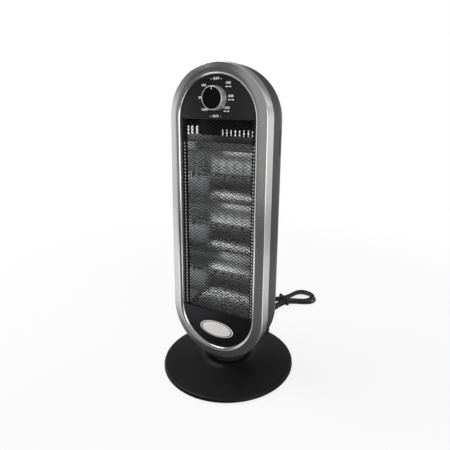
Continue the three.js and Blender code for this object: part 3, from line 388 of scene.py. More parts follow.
finishLooks = {
    "silverPaint": {"slot": "silver_paint", "colors": [(0.58, 0.58, 0.575), (0.66, 0.66, 0.655)],
        "patchScale": 8, "metallic": 0.9, "roughness": (0.18, 0.22), "grainScale": 1400,
        "grainDepth": 0.006 * mm, "bump": 0.1},
    "shellPlastic": {"slot": "shell_plastic", "colors": [(0.018, 0.018, 0.019), (0.025, 0.025, 0.026)],
        "patchScale": 14, "specular": 0.3, "roughness": (0.36, 0.46), "grainScale": 1500,
        "grainDepth": 0.12 * mm, "bump": 0.4, "dust": 0.05},
    "panelPlastic": {"slot": "panel_plastic", "colors": greys(0.016, 0.021), "patchScale": 10,
        "specular": 0.45, "roughness": (0.2, 0.27), "grainScale": 1300, "grainDepth": 0.06 * mm},
    # a darker copy of the panel plastic for the lower panel: its darker colour is painted shade
    "shadedPanelPlastic": {"slot": "panel_plastic",
        "colors": [(0.008, 0.008, 0.011), (0.012, 0.012, 0.015)], "patchScale": 10, "specular": 0.2,
        "roughness": (0.3, 0.38), "grainScale": 1300, "grainDepth": 0.06 * mm},
    "basePlastic": {"slot": "base_plastic", "colors": greys(0.004, 0.007), "patchScale": 12,
        "specular": 0.22, "roughness": (0.34, 0.44), "grainScale": 1400, "grainDepth": 0.12 * mm,
        "bump": 0.4, "dust": 0.008},
    "badgePlate": {"slot": "badge", "colors": [(0.76, 0.72, 0.71), (0.86, 0.82, 0.81)], "patchScale": 24,
        "roughness": (0.25, 0.32), "grainDepth": 0.02 * mm, "coat": 0.5, "coatRoughness": 0.1},
    "badgeRim": {"slot": "badge", "colors": [(0.1, 0.095, 0.1), (0.15, 0.145, 0.15)], "patchScale": 40,
        "metallic": 0.4, "roughness": (0.22, 0.3), "grainDepth": 0.02 * mm},
    "grilleWire": {"slot": "grille_wire", "colors": greys(0.02, 0.036), "patchScale": 120,
        "roughness": (0.3, 0.45), "grainScale": 2500, "grainDepth": 0.05 * mm, "metallic": 0.1},
    "blackSheet": {"slot": "grille_wire", "colors": greys(0.006, 0.01), "patchScale": 60,
        "roughness": (0.4, 0.5), "grainScale": 1500, "grainDepth": 0.05 * mm, "specular": 0.3},
    "polishedSheet": {"slot": "reflector_sheet", "colors": [(0.84, 0.85, 0.86), (0.94, 0.95, 0.95)],
        "patchScale": 20, "stretch": (0.2, 6, 6), "roughness": (0.2, 0.32), "grainScale": 220,
        "grainDepth": 0.03 * mm, "metallic": 1},
    "zincSteel": {"slot": "zinc_steel", "colors": [(0.4, 0.41, 0.42), (0.56, 0.57, 0.58)],
        "patchScale": 25, "flakeScale": 260, "roughness": (0.28, 0.42), "grainScale": 600,
        "grainDepth": 0.04 * mm, "metallic": 1},
    "polishedZinc": {"slot": "zinc_steel", "colors": [(0.8, 0.81, 0.82), (0.9, 0.91, 0.92)],
        "patchScale": 20, "stretch": (6, 6, 0.2), "roughness": (0.1, 0.2), "grainScale": 220,
        "grainDepth": 0.02 * mm, "metallic": 1},
    "satinSheet": {"slot": "reflector_sheet", "colors": [(0.72, 0.73, 0.74), (0.86, 0.87, 0.88)],
        "patchScale": 120, "roughness": (0.3, 0.45), "grainScale": 600, "grainDepth": 0.04 * mm,
        "metallic": 0.3},
    "whiteCeramic": {"slot": "ceramic", "colors": [(0.74, 0.72, 0.67), (0.83, 0.81, 0.77)],
        "patchScale": 60, "roughness": (0.5, 0.7), "grainScale": 1800, "grainDepth": 0.15 * mm,
        "bump": 0.5},
    "clearQuartz": {"slot": "quartz", "colors": [(0.93, 0.95, 0.96), (1, 1, 1)], "patchScale": 12,
        "roughness": (0.01, 0.04), "grainScale": 90, "grainDepth": 0.02 * mm, "transmission": 1,
        "ior": 1.46},
    "tungsten": {"slot": "filament", "colors": [(0.22, 0.21, 0.2), (0.38, 0.36, 0.34)], "patchScale": 300,
        "roughness": (0.3, 0.45), "grainScale": 3000, "grainDepth": 0.02 * mm, "metallic": 1},
    "knobMetal": {"slot": "knob_metal", "colors": greys(0.5, 0.74), "patchScale": 260,
        "stretch": (1, 0.35, 1), "roughness": (0.24, 0.34), "grainScale": 700, "grainDepth": 0.05 * mm,
        "metallic": 0.6},
    "knobPlastic": {"slot": "knob_plastic", "colors": greys(0.002, 0.0035), "patchScale": 40,
        "specular": 0.2, "roughness": (0.3, 0.4), "grainScale": 1800, "grainDepth": 0.05 * mm},
    "dialPrint": {"slot": "knob_plastic", "colors": greys(0.84, 0.92), "patchScale": 300,
        "roughness": (0.45, 0.6), "grainScale": 2500, "grainDepth": 0.02 * mm},
    "creamPlastic": {"slot": "cream_plastic", "colors": [(0.66, 0.62, 0.53), (0.74, 0.7, 0.62)],
        "patchScale": 50, "roughness": (0.4, 0.55), "grainScale": 1500, "grainDepth": 0.08 * mm},
    "softRubber": {"slot": "rubber", "colors": greys(0.01, 0.018), "patchScale": 60,
        "roughness": (0.55, 0.75), "grainScale": 1600, "grainDepth": 0.12 * mm, "bump": 0.5},
    "cordSheath": {"slot": "rubber", "colors": greys(0.007, 0.012), "patchScale": 90,
        "roughness": (0.28, 0.38), "grainScale": 1200, "grainDepth": 0.04 * mm},
    "platedPin": {"slot": "pin_brass", "colors": [(0.62, 0.6, 0.55), (0.72, 0.7, 0.66)], "patchScale": 80,
        "stretch": (1, 1, 4), "roughness": (0.16, 0.28), "grainScale": 800, "grainDepth": 0.02 * mm,
        "metallic": 1},
}
for name, look in finishLooks.items():
    makeFinish(name, look)
print("finishes made:", len(finishes))

# ---- mesh tools

mergeReach = 0.002 * mm
smallRounding = 1.5 * mm  # a smaller rounding takes fewer segments
spinAxes = {"X": Vector((1, 0, 0)), "Y": Vector((0, 1, 0)), "Z": Vector((0, 0, 1))}


def vertsIn(geometry):
    return [part for part in geometry if isinstance(part, bmesh.types.BMVert)]


def everything(bm):
    return list(bm.verts) + list(bm.edges) + list(bm.faces)


def shifted(bm, step):
    bmesh.ops.translate(bm, verts=bm.verts, vec=step)
    return bm


def placed(bm, matrix):
    bmesh.ops.transform(bm, matrix=matrix, verts=bm.verts)
    return bm


def mirrorable(bm, side):
    # the shape as it is for a side of 1, and on the other side of X for -1
    bmesh.ops.scale(bm, verts=bm.verts, vec=(side, 1, 1))
    bmesh.ops.recalc_face_normals(bm, faces=bm.faces)
    return bm


def pushed(bm, faces, depth):
    # the faces become a solid that reaches along depth
    grown = bmesh.ops.extrude_face_region(bm, geom=list(faces))["geom"]
    bmesh.ops.translate(bm, verts=vertsIn(grown), vec=depth)
    return bm


def drawnOut(bm, edges, step):
    # the edges leave faces behind along step
    grown = bmesh.ops.extrude_edge_only(bm, edges=edges)["geom"]
    bmesh.ops.translate(bm, verts=vertsIn(grown), vec=step)
    return grown


def spun(bm, row, centre, axis, angle, steps, rise=(0, 0, 0), merge=False):
    return bmesh.ops.spin(bm, geom=row, cent=centre, axis=axis, dvec=rise, angle=angle, steps=steps,
                          use_merge=merge, use_normal_flip=False, use_duplicate=False)["geom_last"]


def trimmed(bm, spot, outwards):
    # what lies beyond the plane through spot is cleared away
    bmesh.ops.bisect_plane(bm, geom=everything(bm), plane_co=spot, plane_no=outwards,
                           clear_outer=True, clear_inner=False)
    return bm


def capped(bm):
    bmesh.ops.holes_fill(bm, edges=[edge for edge in bm.edges if edge.is_boundary], sides=0)
    return bm


def chain(bm, corners, place, closed=False):
    # a line of straight runs; a third number in a corner is how far its rounding reaches
    verts = [bm.verts.new(place(*corner[:2])) for corner in corners]
    for pair in list(zip(verts, verts[1:])) + ([(verts[-1], verts[0])] if closed else []):
        bm.edges.new(pair)
    for vert, corner in zip(verts, corners):
        if len(corner) > 2:
            steps = 3 if corner[2] < smallRounding else 6
            bmesh.ops.bevel(bm, geom=[vert], offset=corner[2], offset_type="OFFSET", segments=steps,
                            profile=0.5, affect="VERTICES", material=-1)
    return list(bm.verts) + list(bm.edges)


def turned(corners, axis="Z", centre=(0, 0, 0), closed=False, steps=96):
    # corners are (radius, distance along the axis)
    centre, along = Vector(centre), spinAxes[axis]
    outwards = spinAxes["Z" if axis == "X" else "X"]
    bm = bmesh.new()
    row = chain(bm, corners, lambda r, h: centre + outwards * r + along * h, closed)
    spun(bm, row, centre, along, fullTurn, steps, merge=True)
    return cleaned(bm)


def rod(radius, start, end, axis="Z", centre=(0, 0, 0), steps=96):
    return turned([(0, start), (radius, start), (radius, end), (0, end)], axis, centre, steps=steps)


def cleaned(bm):
    bmesh.ops.remove_doubles(bm, verts=bm.verts, dist=mergeReach)
    bmesh.ops.dissolve_degenerate(bm, edges=bm.edges, dist=mergeReach)
    bmesh.ops.recalc_face_normals(bm, faces=bm.faces)
    return bm


def prism(points, place, depth):
    # a closed outline, pushed along depth; place maps the outline's two numbers to a point
    bm = bmesh.new()
    face = bm.faces.new([bm.verts.new(place(u, v)) for u, v in points])
    return cleaned(pushed(bm, [face], depth))


def block(low, high, rounding=0, segments=2):
    low, high = Vector(low), Vector(high)
    bm = bmesh.new()
    bmesh.ops.create_cube(bm, size=1)
    bmesh.ops.scale(bm, verts=bm.verts, vec=high - low)
    shifted(bm, (low + high) / 2)
    if rounding:
        soften(bm, bm.edges, rounding, segments)
    return bm


def soften(bm, edges, width, segments=3):
    bmesh.ops.bevel(bm, geom=list(edges), offset=width, offset_type="OFFSET", segments=segments,
                    profile=0.5, affect="EDGES", material=-1, clamp_overlap=True)
    return bm


def sharpEdges(bm, angle=40):
    return [edge for edge in bm.edges if edge.is_manifold and edge.calc_face_angle(0) > radians(angle)]


def gathered(*parts):
    whole = bmesh.new()
    for part in parts:
        mesh = bpy.data.meshes.new("part")
        part.to_mesh(mesh)
        part.free()
        whole.from_mesh(mesh)
        bpy.data.meshes.remove(mesh)
    return whole


def evaluatedMesh(drawn):
    return bpy.data.meshes.new_from_object(drawn.evaluated_get(bpy.context.evaluated_depsgraph_get()))


def combined(first, second, operation):
    # first minus, or joined with, second
    pair = []
    for bm in (first, second):
        mesh = bpy.data.meshes.new("solid")
        bm.to_mesh(mesh)
        bm.free()
        pair.append(newObject("solid", mesh))
    step = pair[0].modifiers.new("step", "BOOLEAN")
    step.operation, step.object, step.solver = operation, pair[1], "EXACT"
    result = evaluatedMesh(pair[0])
    bm = bmesh.new()
    bm.from_mesh(result)
    for solid in pair:
        mesh = solid.data
        bpy.data.objects.remove(solid)
        bpy.data.meshes.remove(mesh)
    bpy.data.meshes.remove(result)
    return bm


def cut(solid, *cutters):
    return combined(solid, gathered(*cutters), "DIFFERENCE")


def dress(piece, finish, body, *stands):
    material, slot = finishes[finish]
    piece.data.materials.clear()
    piece.data.materials.append(material)
    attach(piece, body)
    if stands:
        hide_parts(*stands)
    return piece


def makePiece(name, bm, finish, body, *stands, sharp=32):
    # stands are the CAD nodes that the piece replaces
    for face in bm.faces:
        face.smooth = True
    for edge in bm.edges:
        edge.smooth = edge.is_manifold and edge.calc_face_angle(0) < radians(sharp)
    mesh = bpy.data.meshes.new(name)
    bm.to_mesh(mesh)
    bm.free()
    return dress(newObject(name, mesh), finish, body, *stands)


# ---- cord: out of the strain relief, onto the hank, out of it again and into the plug

cord = {
    "diameter": 6 * mm,
    "outletTurn": radians(-6),
    "reliefTip": 168 * mm,
    "reliefHeight": 7.2 * mm,
    "hankCentre": (11 * mm, 303 * mm),
    "hankAngle": radians(50),
    "halfLength": 82 * mm,
    "waist": 3 * mm,
    "belly": 35 * mm,
    "strandPitch": 8.2 * mm,
    "loopPitch": 7.2 * mm,
    "bellyPitch": 6 * mm,
    "layerHeight": 6.75 * mm,
    "reverseTurn": 4 * math.pi,
    "startTurn": radians(-15),
    "endTurn": 7 * math.pi + radians(15),
    "stepTurn": radians(15),
    "restHeight": 3.05 * mm,
    "tieRise": 2 * mm,
    "tieReach": 45 * mm,
    "plugAlong": -104 * mm,
    "plugAcross": 48 * mm,
    "plugHeight": 7.5 * mm,
}


def inHank(along, across, z):
    c, s = math.cos(cord["hankAngle"]), math.sin(cord["hankAngle"])
    x, y = cord["hankCentre"]
    return Vector((x + along * c - across * s, y + along * s + across * c, z))


def smoothStep(value, low, high):
    t = min(max((value - low) / (high - low), 0), 1)
    return t * t * (3 - 2 * t)


def hankPoint(turn):
    step = abs(turn - cord["reverseTurn"]) / fullTurn
    s, c = math.sin(turn), math.cos(turn)
    along = (cord["halfLength"] + cord["loopPitch"] * step) * s
    bulge = (cord["belly"] + cord["bellyPitch"] * step) * (1 - c ** 4)
    across = c * (cord["waist"] + cord["strandPitch"] * step + bulge)
    climb = smoothStep(turn, cord["reverseTurn"] - math.pi / 2, cord["reverseTurn"] + math.pi / 2)
    rise = cord["tieRise"] * max(0, 1 - (along / cord["tieReach"]) ** 2) ** 2
    return inHank(along, across, cord["restHeight"] + cord["layerHeight"] * climb + rise)


def outletPoint(reach, z):
    return Vector((0, reach, z)) @ Matrix.Rotation(-cord["outletTurn"], 3, "Z")


def cordRoute():
    low, top = cord["restHeight"], cord["restHeight"] + cord["layerHeight"]
    leadIn = [
        outletPoint(cord["reliefTip"], cord["reliefHeight"]), outletPoint(175 * mm, 6.4 * mm),
        Vector((16.6, 187, 4)) * mm, Vector((12.9 * mm, 199.5 * mm, low)), Vector((8.5 * mm, 211 * mm, low)),
        inHank(-66.1 * mm, -48 * mm, 3.2 * mm), inHank(-59.6 * mm, -41.3 * mm, 5.1 * mm),
        inHank(-52.5 * mm, -35.8 * mm, 8.4 * mm), inHank(-45 * mm, -31.1 * mm, top + 0.1 * mm),
        inHank(-37.2 * mm, -27.2 * mm, top),
    ]
    count = round((cord["endTurn"] - cord["startTurn"]) / cord["stepTurn"])
    turns = [cord["endTurn"] - (cord["endTurn"] - cord["startTurn"]) * i / count for i in range(count + 1)]
    leadOut = [
        inHank(-38 * mm, 32 * mm, low), inHank(-49 * mm, 38.5 * mm, low), inHank(-60 * mm, 44 * mm, low),
        inHank(-71 * mm, 47.4 * mm, low), inHank(-82 * mm, 48.2 * mm, 4.4 * mm),
        inHank(-91 * mm, 48 * mm, 6.6 * mm), inHank(-98 * mm, 48 * mm, 7.5 * mm),
        inHank(-103.5 * mm, 48 * mm, 7.5 * mm),
    ]
    return leadIn + [hankPoint(turn) for turn in turns] + leadOut


def makeCord():
    route = cordRoute()
    curve = bpy.data.curves.new("mainsCord", "CURVE")
    curve.dimensions = "3D"
    curve.bevel_depth = cord["diameter"] / 2
    curve.bevel_resolution = 5
    curve.resolution_u = 4
    curve.use_fill_caps = True
    line = curve.splines.new("BEZIER")
    line.bezier_points.add(len(route) - 1)
    for point, place in zip(line.bezier_points, route):
        point.co = place
        point.handle_left_type = point.handle_right_type = "AUTO"
    piece = newObject("mainsCord", curve)
    dress(piece, "cordSheath", "base", "cord_lead", "cord_hank", "cord_tail")
    bpy.context.view_layer.update()
    return piece, route[0], line.calc_length()


tie = {
    "width": 6 * mm, "thick": 1 * mm, "right": -19.3 * mm, "left": 23.4 * mm, "top": 15.8 * mm,
    "round": 0.9 * mm,
}


def makeTie():
    # a flat band, drawn as an outline across the hank and pushed along it
    def ringFace(bm, grow, along):
        low, high = tie["right"] - grow, tie["left"] + grow
        corners = [(low, tie["thick"] - grow), (high, tie["thick"] - grow),
                   (high, tie["top"] + grow), (low, tie["top"] + grow)]
        verts = [bm.verts.new(inHank(along, across, z)) for across, z in corners]
        return [bm.edges.new((verts[i], verts[(i + 1) % 4])) for i in range(4)]

    bm = bmesh.new()
    inner = ringFace(bm, 0, -tie["width"] / 2)
    outer = ringFace(bm, tie["thick"], -tie["width"] / 2)
    bridged = bmesh.ops.bridge_loops(bm, edges=inner + outer)
    c, s = math.cos(cord["hankAngle"]), math.sin(cord["hankAngle"])
    cleaned(pushed(bm, bridged["faces"], (tie["width"] * c, tie["width"] * s, 0)))
    lengthwise = [edge for edge in bm.edges if abs(edge.calc_length() / tie["width"] - 1) < 0.01]
    soften(bm, lengthwise, tie["round"])
    return makePiece("hankTie", bm, "softRubber", "base", "cord_tie")


plug = {
    "length": 36 * mm, "width": 30 * mm, "neck": 11 * mm, "height": 15 * mm, "round": 3 * mm,
    "ribs": 4, "ribDepth": 0.7 * mm, "ribPitch": 3 * mm, "ribWidth": 1.2 * mm, "ribZs": (3 * mm, 12 * mm),
    "pinRadius": 2.4 * mm, "pinLength": 19 * mm, "pinSpacing": 19 * mm, "pinRound": 1.4 * mm,
    "pinRoot": 1 * mm,
    "neckEnd": 0.3, "bellStart": 0.55, "ribStart": 0.62,  # shares of its length
}


def makePlug():
    length, half, neck = plug["length"], plug["width"] / 2, plug["neck"] / 2
    neckEnd, bellStart = length * plug["neckEnd"], length * plug["bellStart"]
    flank = [(0, neck), (neckEnd, neck), (bellStart, half), (length, half)]
    points = [(x, -y) for x, y in flank] + flank[::-1]
    turn = Matrix.Translation(inHank(cord["plugAlong"], cord["plugAcross"], 0)) @ Matrix.Rotation(
        cord["hankAngle"] + math.pi, 4, "Z")
    casing = prism(points, lambda x, y: (x, y, 0), (0, 0, plug["height"]))
    soften(casing, sharpEdges(casing, 20), plug["round"], 4)
    ribs, (low, high) = [], plug["ribZs"]
    for i in range(plug["ribs"]):
        x = length * plug["ribStart"] + i * plug["ribPitch"]
        for y in (-half, half):
            ribs.append(block((x, y - plug["ribDepth"], low),
                              (x + plug["ribWidth"], y + plug["ribDepth"], high)))
    pieces = [makePiece("plugBody", placed(cut(casing, *ribs), turn), "softRubber", "base", "plug_body")]
    back, radius, reach = length - plug["pinRoot"], plug["pinRadius"], length + plug["pinLength"]
    for side, number in ((-1, "1"), (1, "2")):
        pin = turned([(0, back), (radius, back), (radius, reach, plug["pinRound"]), (0, reach)],
                     "X", (0, side * plug["pinSpacing"] / 2, cord["plugHeight"]), steps=32)
        placed(pin, turn)
        pieces.append(makePiece("plugPin" + number, pin, "platedPin", "base", "plug_pin_" + number))
    return pieces


cordPiece, cordExit, cordLength = makeCord()
makeTie()
makePlug()
print("cord laid:", round(cordLength, 3), "m")

# ---- body outline: a stadium, wider than deep, shared by the bezel, the shell and the panels

outline = {"halfWidth": 100 * mm, "upperArc": 509 * mm, "lowerArc": 140 * mm, "steps": 48}


def stadiumSwept(corners, closed):
    # corners are (distance from the middle line, y); the line goes once round the outline
    bm = bmesh.new()
    row = chain(bm, corners, lambda r, y: (r, y, outline["upperArc"]), closed)
    drop = outline["lowerArc"] - outline["upperArc"]
    for arcHeight, step in ((outline["upperArc"], drop), (outline["lowerArc"], -drop)):
        last = spun(bm, row, (0, 0, arcHeight), (0, -1, 0), math.pi, outline["steps"])
        edges = [part for part in last if isinstance(part, bmesh.types.BMEdge)]
        straight = drawnOut(bm, edges, (0, 0, step))
        row = [part for part in straight if not isinstance(part, bmesh.types.BMFace)]
    return cleaned(bm)


bezel = {
    "jointY": -28 * mm, "edgeY": -53.1 * mm, "crestY": -57 * mm, "lipBackY": -46 * mm,
    "windowHalf": 77 * mm, "wall": 2.4 * mm, "edgeRound": 2.4 * mm, "lipRound": 6 * mm,
    # the dome's corners: how far in from the edge, y and rounding
    "dome": ((7.4 * mm, -55.1 * mm, 3 * mm), (12 * mm, -56.4 * mm, 2 * mm), (16.6 * mm, -57 * mm, 0.3 * mm)),
    "innerDome": (11 * mm, -53.6 * mm, 4 * mm),
    "lipBackRound": 0.5 * mm, "innerRound": 1 * mm, "lipDepth": 4 * mm, "edgeExtra": 0.4 * mm,
}


def makeBezel():
    outer, inner, wall = outline["halfWidth"], bezel["windowHalf"], bezel["wall"]
    (domeIn, domeY, domeRound), rounding = bezel["innerDome"], bezel["innerRound"]
    corners = [
        (outer, bezel["jointY"]), (outer, bezel["edgeY"], bezel["edgeRound"]),
        *[(outer - inwards, y, reach) for inwards, y, reach in bezel["dome"]],
        (inner, bezel["crestY"], bezel["lipRound"]), (inner, bezel["lipBackY"], bezel["lipBackRound"]),
        (inner + wall, bezel["lipBackY"]), (inner + wall, bezel["crestY"] + bezel["lipDepth"], rounding),
        (outer - domeIn, domeY, domeRound),
        (outer - wall, bezel["edgeY"] + wall + bezel["edgeExtra"], rounding), (outer - wall, bezel["jointY"]),
    ]
    makePiece("bezelRing", stadiumSwept(corners, True), "silverPaint", "heater_body", "bezel")


shell = {
    "frontY": -27.7 * mm, "roundY": -3 * mm, "backY": 48 * mm, "inset": 38 * mm, "wall": 3 * mm,
    "curveSteps": 12, "slotPitch": 9.75 * mm, "slotWidth": 4 * mm, "slotsPerSide": 5,
    "upperSlots": (446 * mm, 488 * mm), "lowerSlots": (96 * mm, 146 * mm), "sideSlots": (446 * mm, 495 * mm),
    "sideSlotYs": (2 * mm, 13.5 * mm, 25 * mm), "sideSlotWidth": 4.8 * mm, "sideSlotTurn": radians(48),
    "bossX": 48 * mm, "bossHeights": (430 * mm, 162 * mm), "bossRadius": 5.5 * mm, "bossFront": 5.3 * mm,
    "bossSink": 1.5 * mm, "bossRound": 0.6 * mm,
    "boreRadius": 4.3 * mm, "boreDepth": 9 * mm, "shankRadius": 2.3 * mm,
    "slotReach": (30 * mm, 60 * mm), "sideSlotReach": 6 * mm, "cutterReach": 5 * mm,
    "postBore": (13 * mm, 30 * mm, 52 * mm),  # radius and reach along Z
}


def shellCurve(radius, backY, front):
    corners = [(radius, front), (radius, shell["roundY"])]
    for i in range(1, shell["curveSteps"] + 1):
        angle = math.pi / 2 * i / shell["curveSteps"]
        corners.append((radius - shell["inset"] * (1 - math.cos(angle)),
                        shell["roundY"] + (backY - shell["roundY"]) * math.sin(angle)))
    return corners + [(0, backY)]


def slotCutter(width, low, high, front, back):
    # a slot along Y, in the middle of X, whose ends are half-round
    bm = block((-width / 2, front, low), (width / 2, back, high))
    ends = [edge for edge in bm.edges if abs(edge.verts[0].co.y - edge.verts[1].co.y) > (back - front) / 2]
    return soften(bm, ends, width / 2 - 0.02 * mm, 4)


def slotCutters():
    cutters = []
    for low, high in (shell["upperSlots"], shell["lowerSlots"]):
        for i in range(-shell["slotsPerSide"], shell["slotsPerSide"]):
            cutter = slotCutter(shell["slotWidth"], low, high, *shell["slotReach"])
            cutters.append(shifted(cutter, ((i + 0.5) * shell["slotPitch"], 0, 0)))
    depth, reach = shell["backY"] - shell["roundY"], shell["sideSlotReach"]
    for y in shell["sideSlotYs"]:
        narrowing = shell["inset"] * (1 - math.sqrt(1 - max(0, (y - shell["roundY"]) / depth) ** 2))
        x = outline["halfWidth"] - narrowing - shell["wall"] / 2
        for side in (-1, 1):
            # the slot starts along Y, and is turned to lean towards the back
            cutter = slotCutter(shell["sideSlotWidth"], *shell["sideSlots"], -reach, reach)
            turn = Matrix.Rotation(side * (shell["sideSlotTurn"] - math.pi / 2), 4, "Z")
            cutters.append(placed(cutter, Matrix.Translation((side * x, y, 0)) @ turn))
    return cutters


def bossPlaces():
    return [(x, z) for z in shell["bossHeights"] for x in (-shell["bossX"], shell["bossX"])]


def makeShell():
    outer = shellCurve(outline["halfWidth"], shell["backY"], shell["frontY"])
    inner = shellCurve(outline["halfWidth"] - shell["wall"], shell["backY"] - shell["wall"], shell["frontY"])
    tub = stadiumSwept(inner[::-1] + outer, False)
    bosses, cutters = [], slotCutters()
    front, back, radius = shell["bossFront"], shell["backY"], shell["bossRadius"]
    root, seat, beyond = back - shell["bossSink"], back - shell["boreDepth"], shell["cutterReach"]
    for x, z in bossPlaces():
        bosses.append(turned([(0, front), (radius, front, shell["bossRound"]), (radius, root), (0, root)],
                             "Y", (x, 0, z), steps=32))
        shank, bore = shell["shankRadius"], shell["boreRadius"]
        cutters.append(turned([(0, front - beyond), (shank, front - beyond), (shank, seat), (bore, seat),
                               (bore, back + beyond), (0, back + beyond)], "Y", (x, 0, z), steps=32))
    cutters.append(rod(*shell["postBore"]))
    whole = cut(combined(tub, gathered(*bosses), "UNION"), *cutters)
    makePiece("rearShell", whole, "shellPlastic", "heater_body", "rear_shell")


screw = {
    "headRadius": 4 * mm, "headDepth": 3 * mm, "shankRadius": 2 * mm, "recess": 1.6 * mm, "arm": 2.6 * mm,
    "armWidth": 1 * mm, "tipRound": 0.5 * mm, "headRound": 1.3 * mm,
}


def makeScrews():
    seat, front = shell["backY"] - shell["boreDepth"], shell["bossFront"]
    top, arm, thin = seat + screw["headDepth"], screw["arm"] / 2, screw["armWidth"] / 2
    radius, shank, low = screw["headRadius"], screw["shankRadius"], top - screw["recess"]
    for number, (x, z) in enumerate(bossPlaces(), 1):
        head = turned([(0, front), (shank, front, screw["tipRound"]), (shank, seat), (radius, seat),
                       (radius, top, screw["headRound"]), (0, top)], "Y", (x, 0, z), steps=32)
        arms = [block((x - wide, low, z - high), (x + wide, top + 1 * mm, z + high))
                for wide, high in ((arm, thin), (thin, arm))]
        cross = combined(*arms, "UNION")
        makePiece("shellScrew%d" % number, combined(head, cross, "DIFFERENCE"), "zincSteel", "heater_body",
                  "shell_screw_%d" % number)


makeBezel()
makeShell()
makeScrews()
print("bezel and shell made")

# ---- front panels, dial marks and badge

panel = {
    "frontY": -52 * mm, "thick": 3 * mm, "radius": 76.6 * mm, "windowTop": 510 * mm,
    "windowBottom": 138 * mm, "round": 0.7 * mm, "knobZ": 546 * mm,
    "shaftHole": (4.2 * mm, -60 * mm, -40 * mm),  # radius and reach along Y
}


def panelHalf(arcHeight, lineHeight, side):
    # the part of a disc above the line for a side of 1, and below it for -1
    bm = bmesh.new()
    bmesh.ops.create_circle(bm, cap_ends=True, segments=160, radius=panel["radius"])
    bmesh.ops.rotate(bm, verts=bm.verts, cent=(0, 0, 0), matrix=Matrix.Rotation(math.pi / 2, 3, "X"))
    shifted(bm, (0, panel["frontY"], arcHeight))
    trimmed(bm, (0, 0, lineHeight), (0, 0, -side))
    cleaned(pushed(bm, bm.faces, (0, panel["thick"], 0)))
    front = panel["frontY"] + mergeReach
    rim = [edge for edge in sharpEdges(bm, 60) if all(vert.co.y < front for vert in edge.verts)]
    return soften(bm, rim, panel["round"], 3)


def makePanels():
    upper = panelHalf(outline["upperArc"], panel["windowTop"], 1)
    hole = rod(*panel["shaftHole"], "Y", (0, 0, panel["knobZ"]), 48)
    makePiece("upperPanel", cut(upper, hole), "panelPlastic", "heater_body", "upper_panel")
    lower = panelHalf(outline["lowerArc"], panel["windowBottom"], -1)
    makePiece("lowerPanel", lower, "shadedPanelPlastic", "heater_body", "lower_panel")


# plain settings round the knob: a word or number, its place in X and Z, and its height, in millimetres
marks = {
    "raise": 0.12 * mm,
    "words": [
        ("- OFF -", (-1.1, 578.9), 4.4), ("- OFF -", (-2.1, 515.2), 4.4),
        ("400", (-26.3, 568), 4), ("800", (-32.6, 547), 4), ("1200", (-25.2, 526.3), 4),
        ("400", (23.1, 571.6), 4), ("800", (28.5, 549.7), 4), ("1200", (19.7, 530), 4),
    ],
    "arrows": [(23.2, 565.6), (28.6, 543.6), (19.8, 524.2)],
    "arrowLength": 12 * mm, "arrowHead": 2.6 * mm, "arrowShaft": 1.1 * mm,
    "fontSize": 1.35, "spacing": 1.25, "bold": 0.24 * mm,
}


def makeWord(index, word, place, height):
    text = bpy.data.curves.new("dialWord", "FONT")
    text.body = word
    text.size = height * mm * marks["fontSize"]
    text.space_character = marks["spacing"]
    text.align_x, text.align_y = "CENTER", "CENTER"
    text.extrude = marks["raise"] / 2
    text.offset = marks["bold"]
    text.resolution_u = 3
    draft = newObject("dialWord", text)
    printed = evaluatedMesh(draft)
    bpy.data.objects.remove(draft)
    bpy.data.curves.remove(text)
    middle = Matrix.Translation((place[0] * mm, panel["frontY"] - marks["raise"] / 2, place[1] * mm))
    printed.transform(middle @ Matrix.Rotation(math.pi / 2, 4, "X"))
    dress(newObject("dialWord%d" % index, printed), "dialPrint", "heater_body")


def makeArrow(index, x, z):
    # a line with a head at both ends
    half, head, shaft = marks["arrowLength"] / 2, marks["arrowHead"], marks["arrowShaft"] / 2
    neck, wing = half - head, head / 1.5
    right = [(neck, -shaft), (neck, -wing), (half, 0), (neck, wing), (neck, shaft)]
    points = right + [(-u, -v) for u, v in right]
    bm = prism(points, lambda u, v: (x * mm + u, panel["frontY"], z * mm + v), (0, -marks["raise"], 0))
    makePiece("swingArrow%d" % index, bm, "dialPrint", "heater_body")


badge = {
    "centreZ": 100 * mm, "halfWidth": 37.5 * mm, "halfHeight": 16.5 * mm, "thick": 1.2 * mm,
    "crown": 0.35 * mm, "line": (32.4 * mm, 35.2 * mm), "lineRise": 0.12 * mm,
}


def ovalised(bm):
    # shapes turned about Y at half the badge's width become its oval
    flat = Matrix.Diagonal((1, 1, badge["halfHeight"] / badge["halfWidth"], 1))
    return cleaned(placed(bm, Matrix.Translation((0, 0, badge["centreZ"])) @ flat))


def makeBadge():
    back, front, half = panel["frontY"], panel["frontY"] - badge["thick"], badge["halfWidth"]
    face = turned([(0, back), (half, back), (half, front + badge["crown"], 0.4 * mm),
                   (half * 0.5, front + 0.05 * mm, 6 * mm), (0, front)], "Y")
    makePiece("badgeFace", ovalised(face), "badgePlate", "heater_body", "badge_plate")
    inner, outer = badge["line"]
    top = front + badge["crown"] - badge["lineRise"]
    line = turned([(inner, back), (outer, back), (outer, top, 0.1 * mm), (inner, top - 0.04 * mm, 0.1 * mm)],
                  "Y", closed=True)
    makePiece("badgeLine", ovalised(line), "badgeRim", "heater_body")


makePanels()
for index, (word, place, height) in enumerate(marks["words"], 1):
    makeWord(index, word, place, height)
for index, (x, z) in enumerate(marks["arrows"], 1):
    makeArrow(index, x, z)
makeBadge()
print("panels, dial and badge made")

# ---- knob

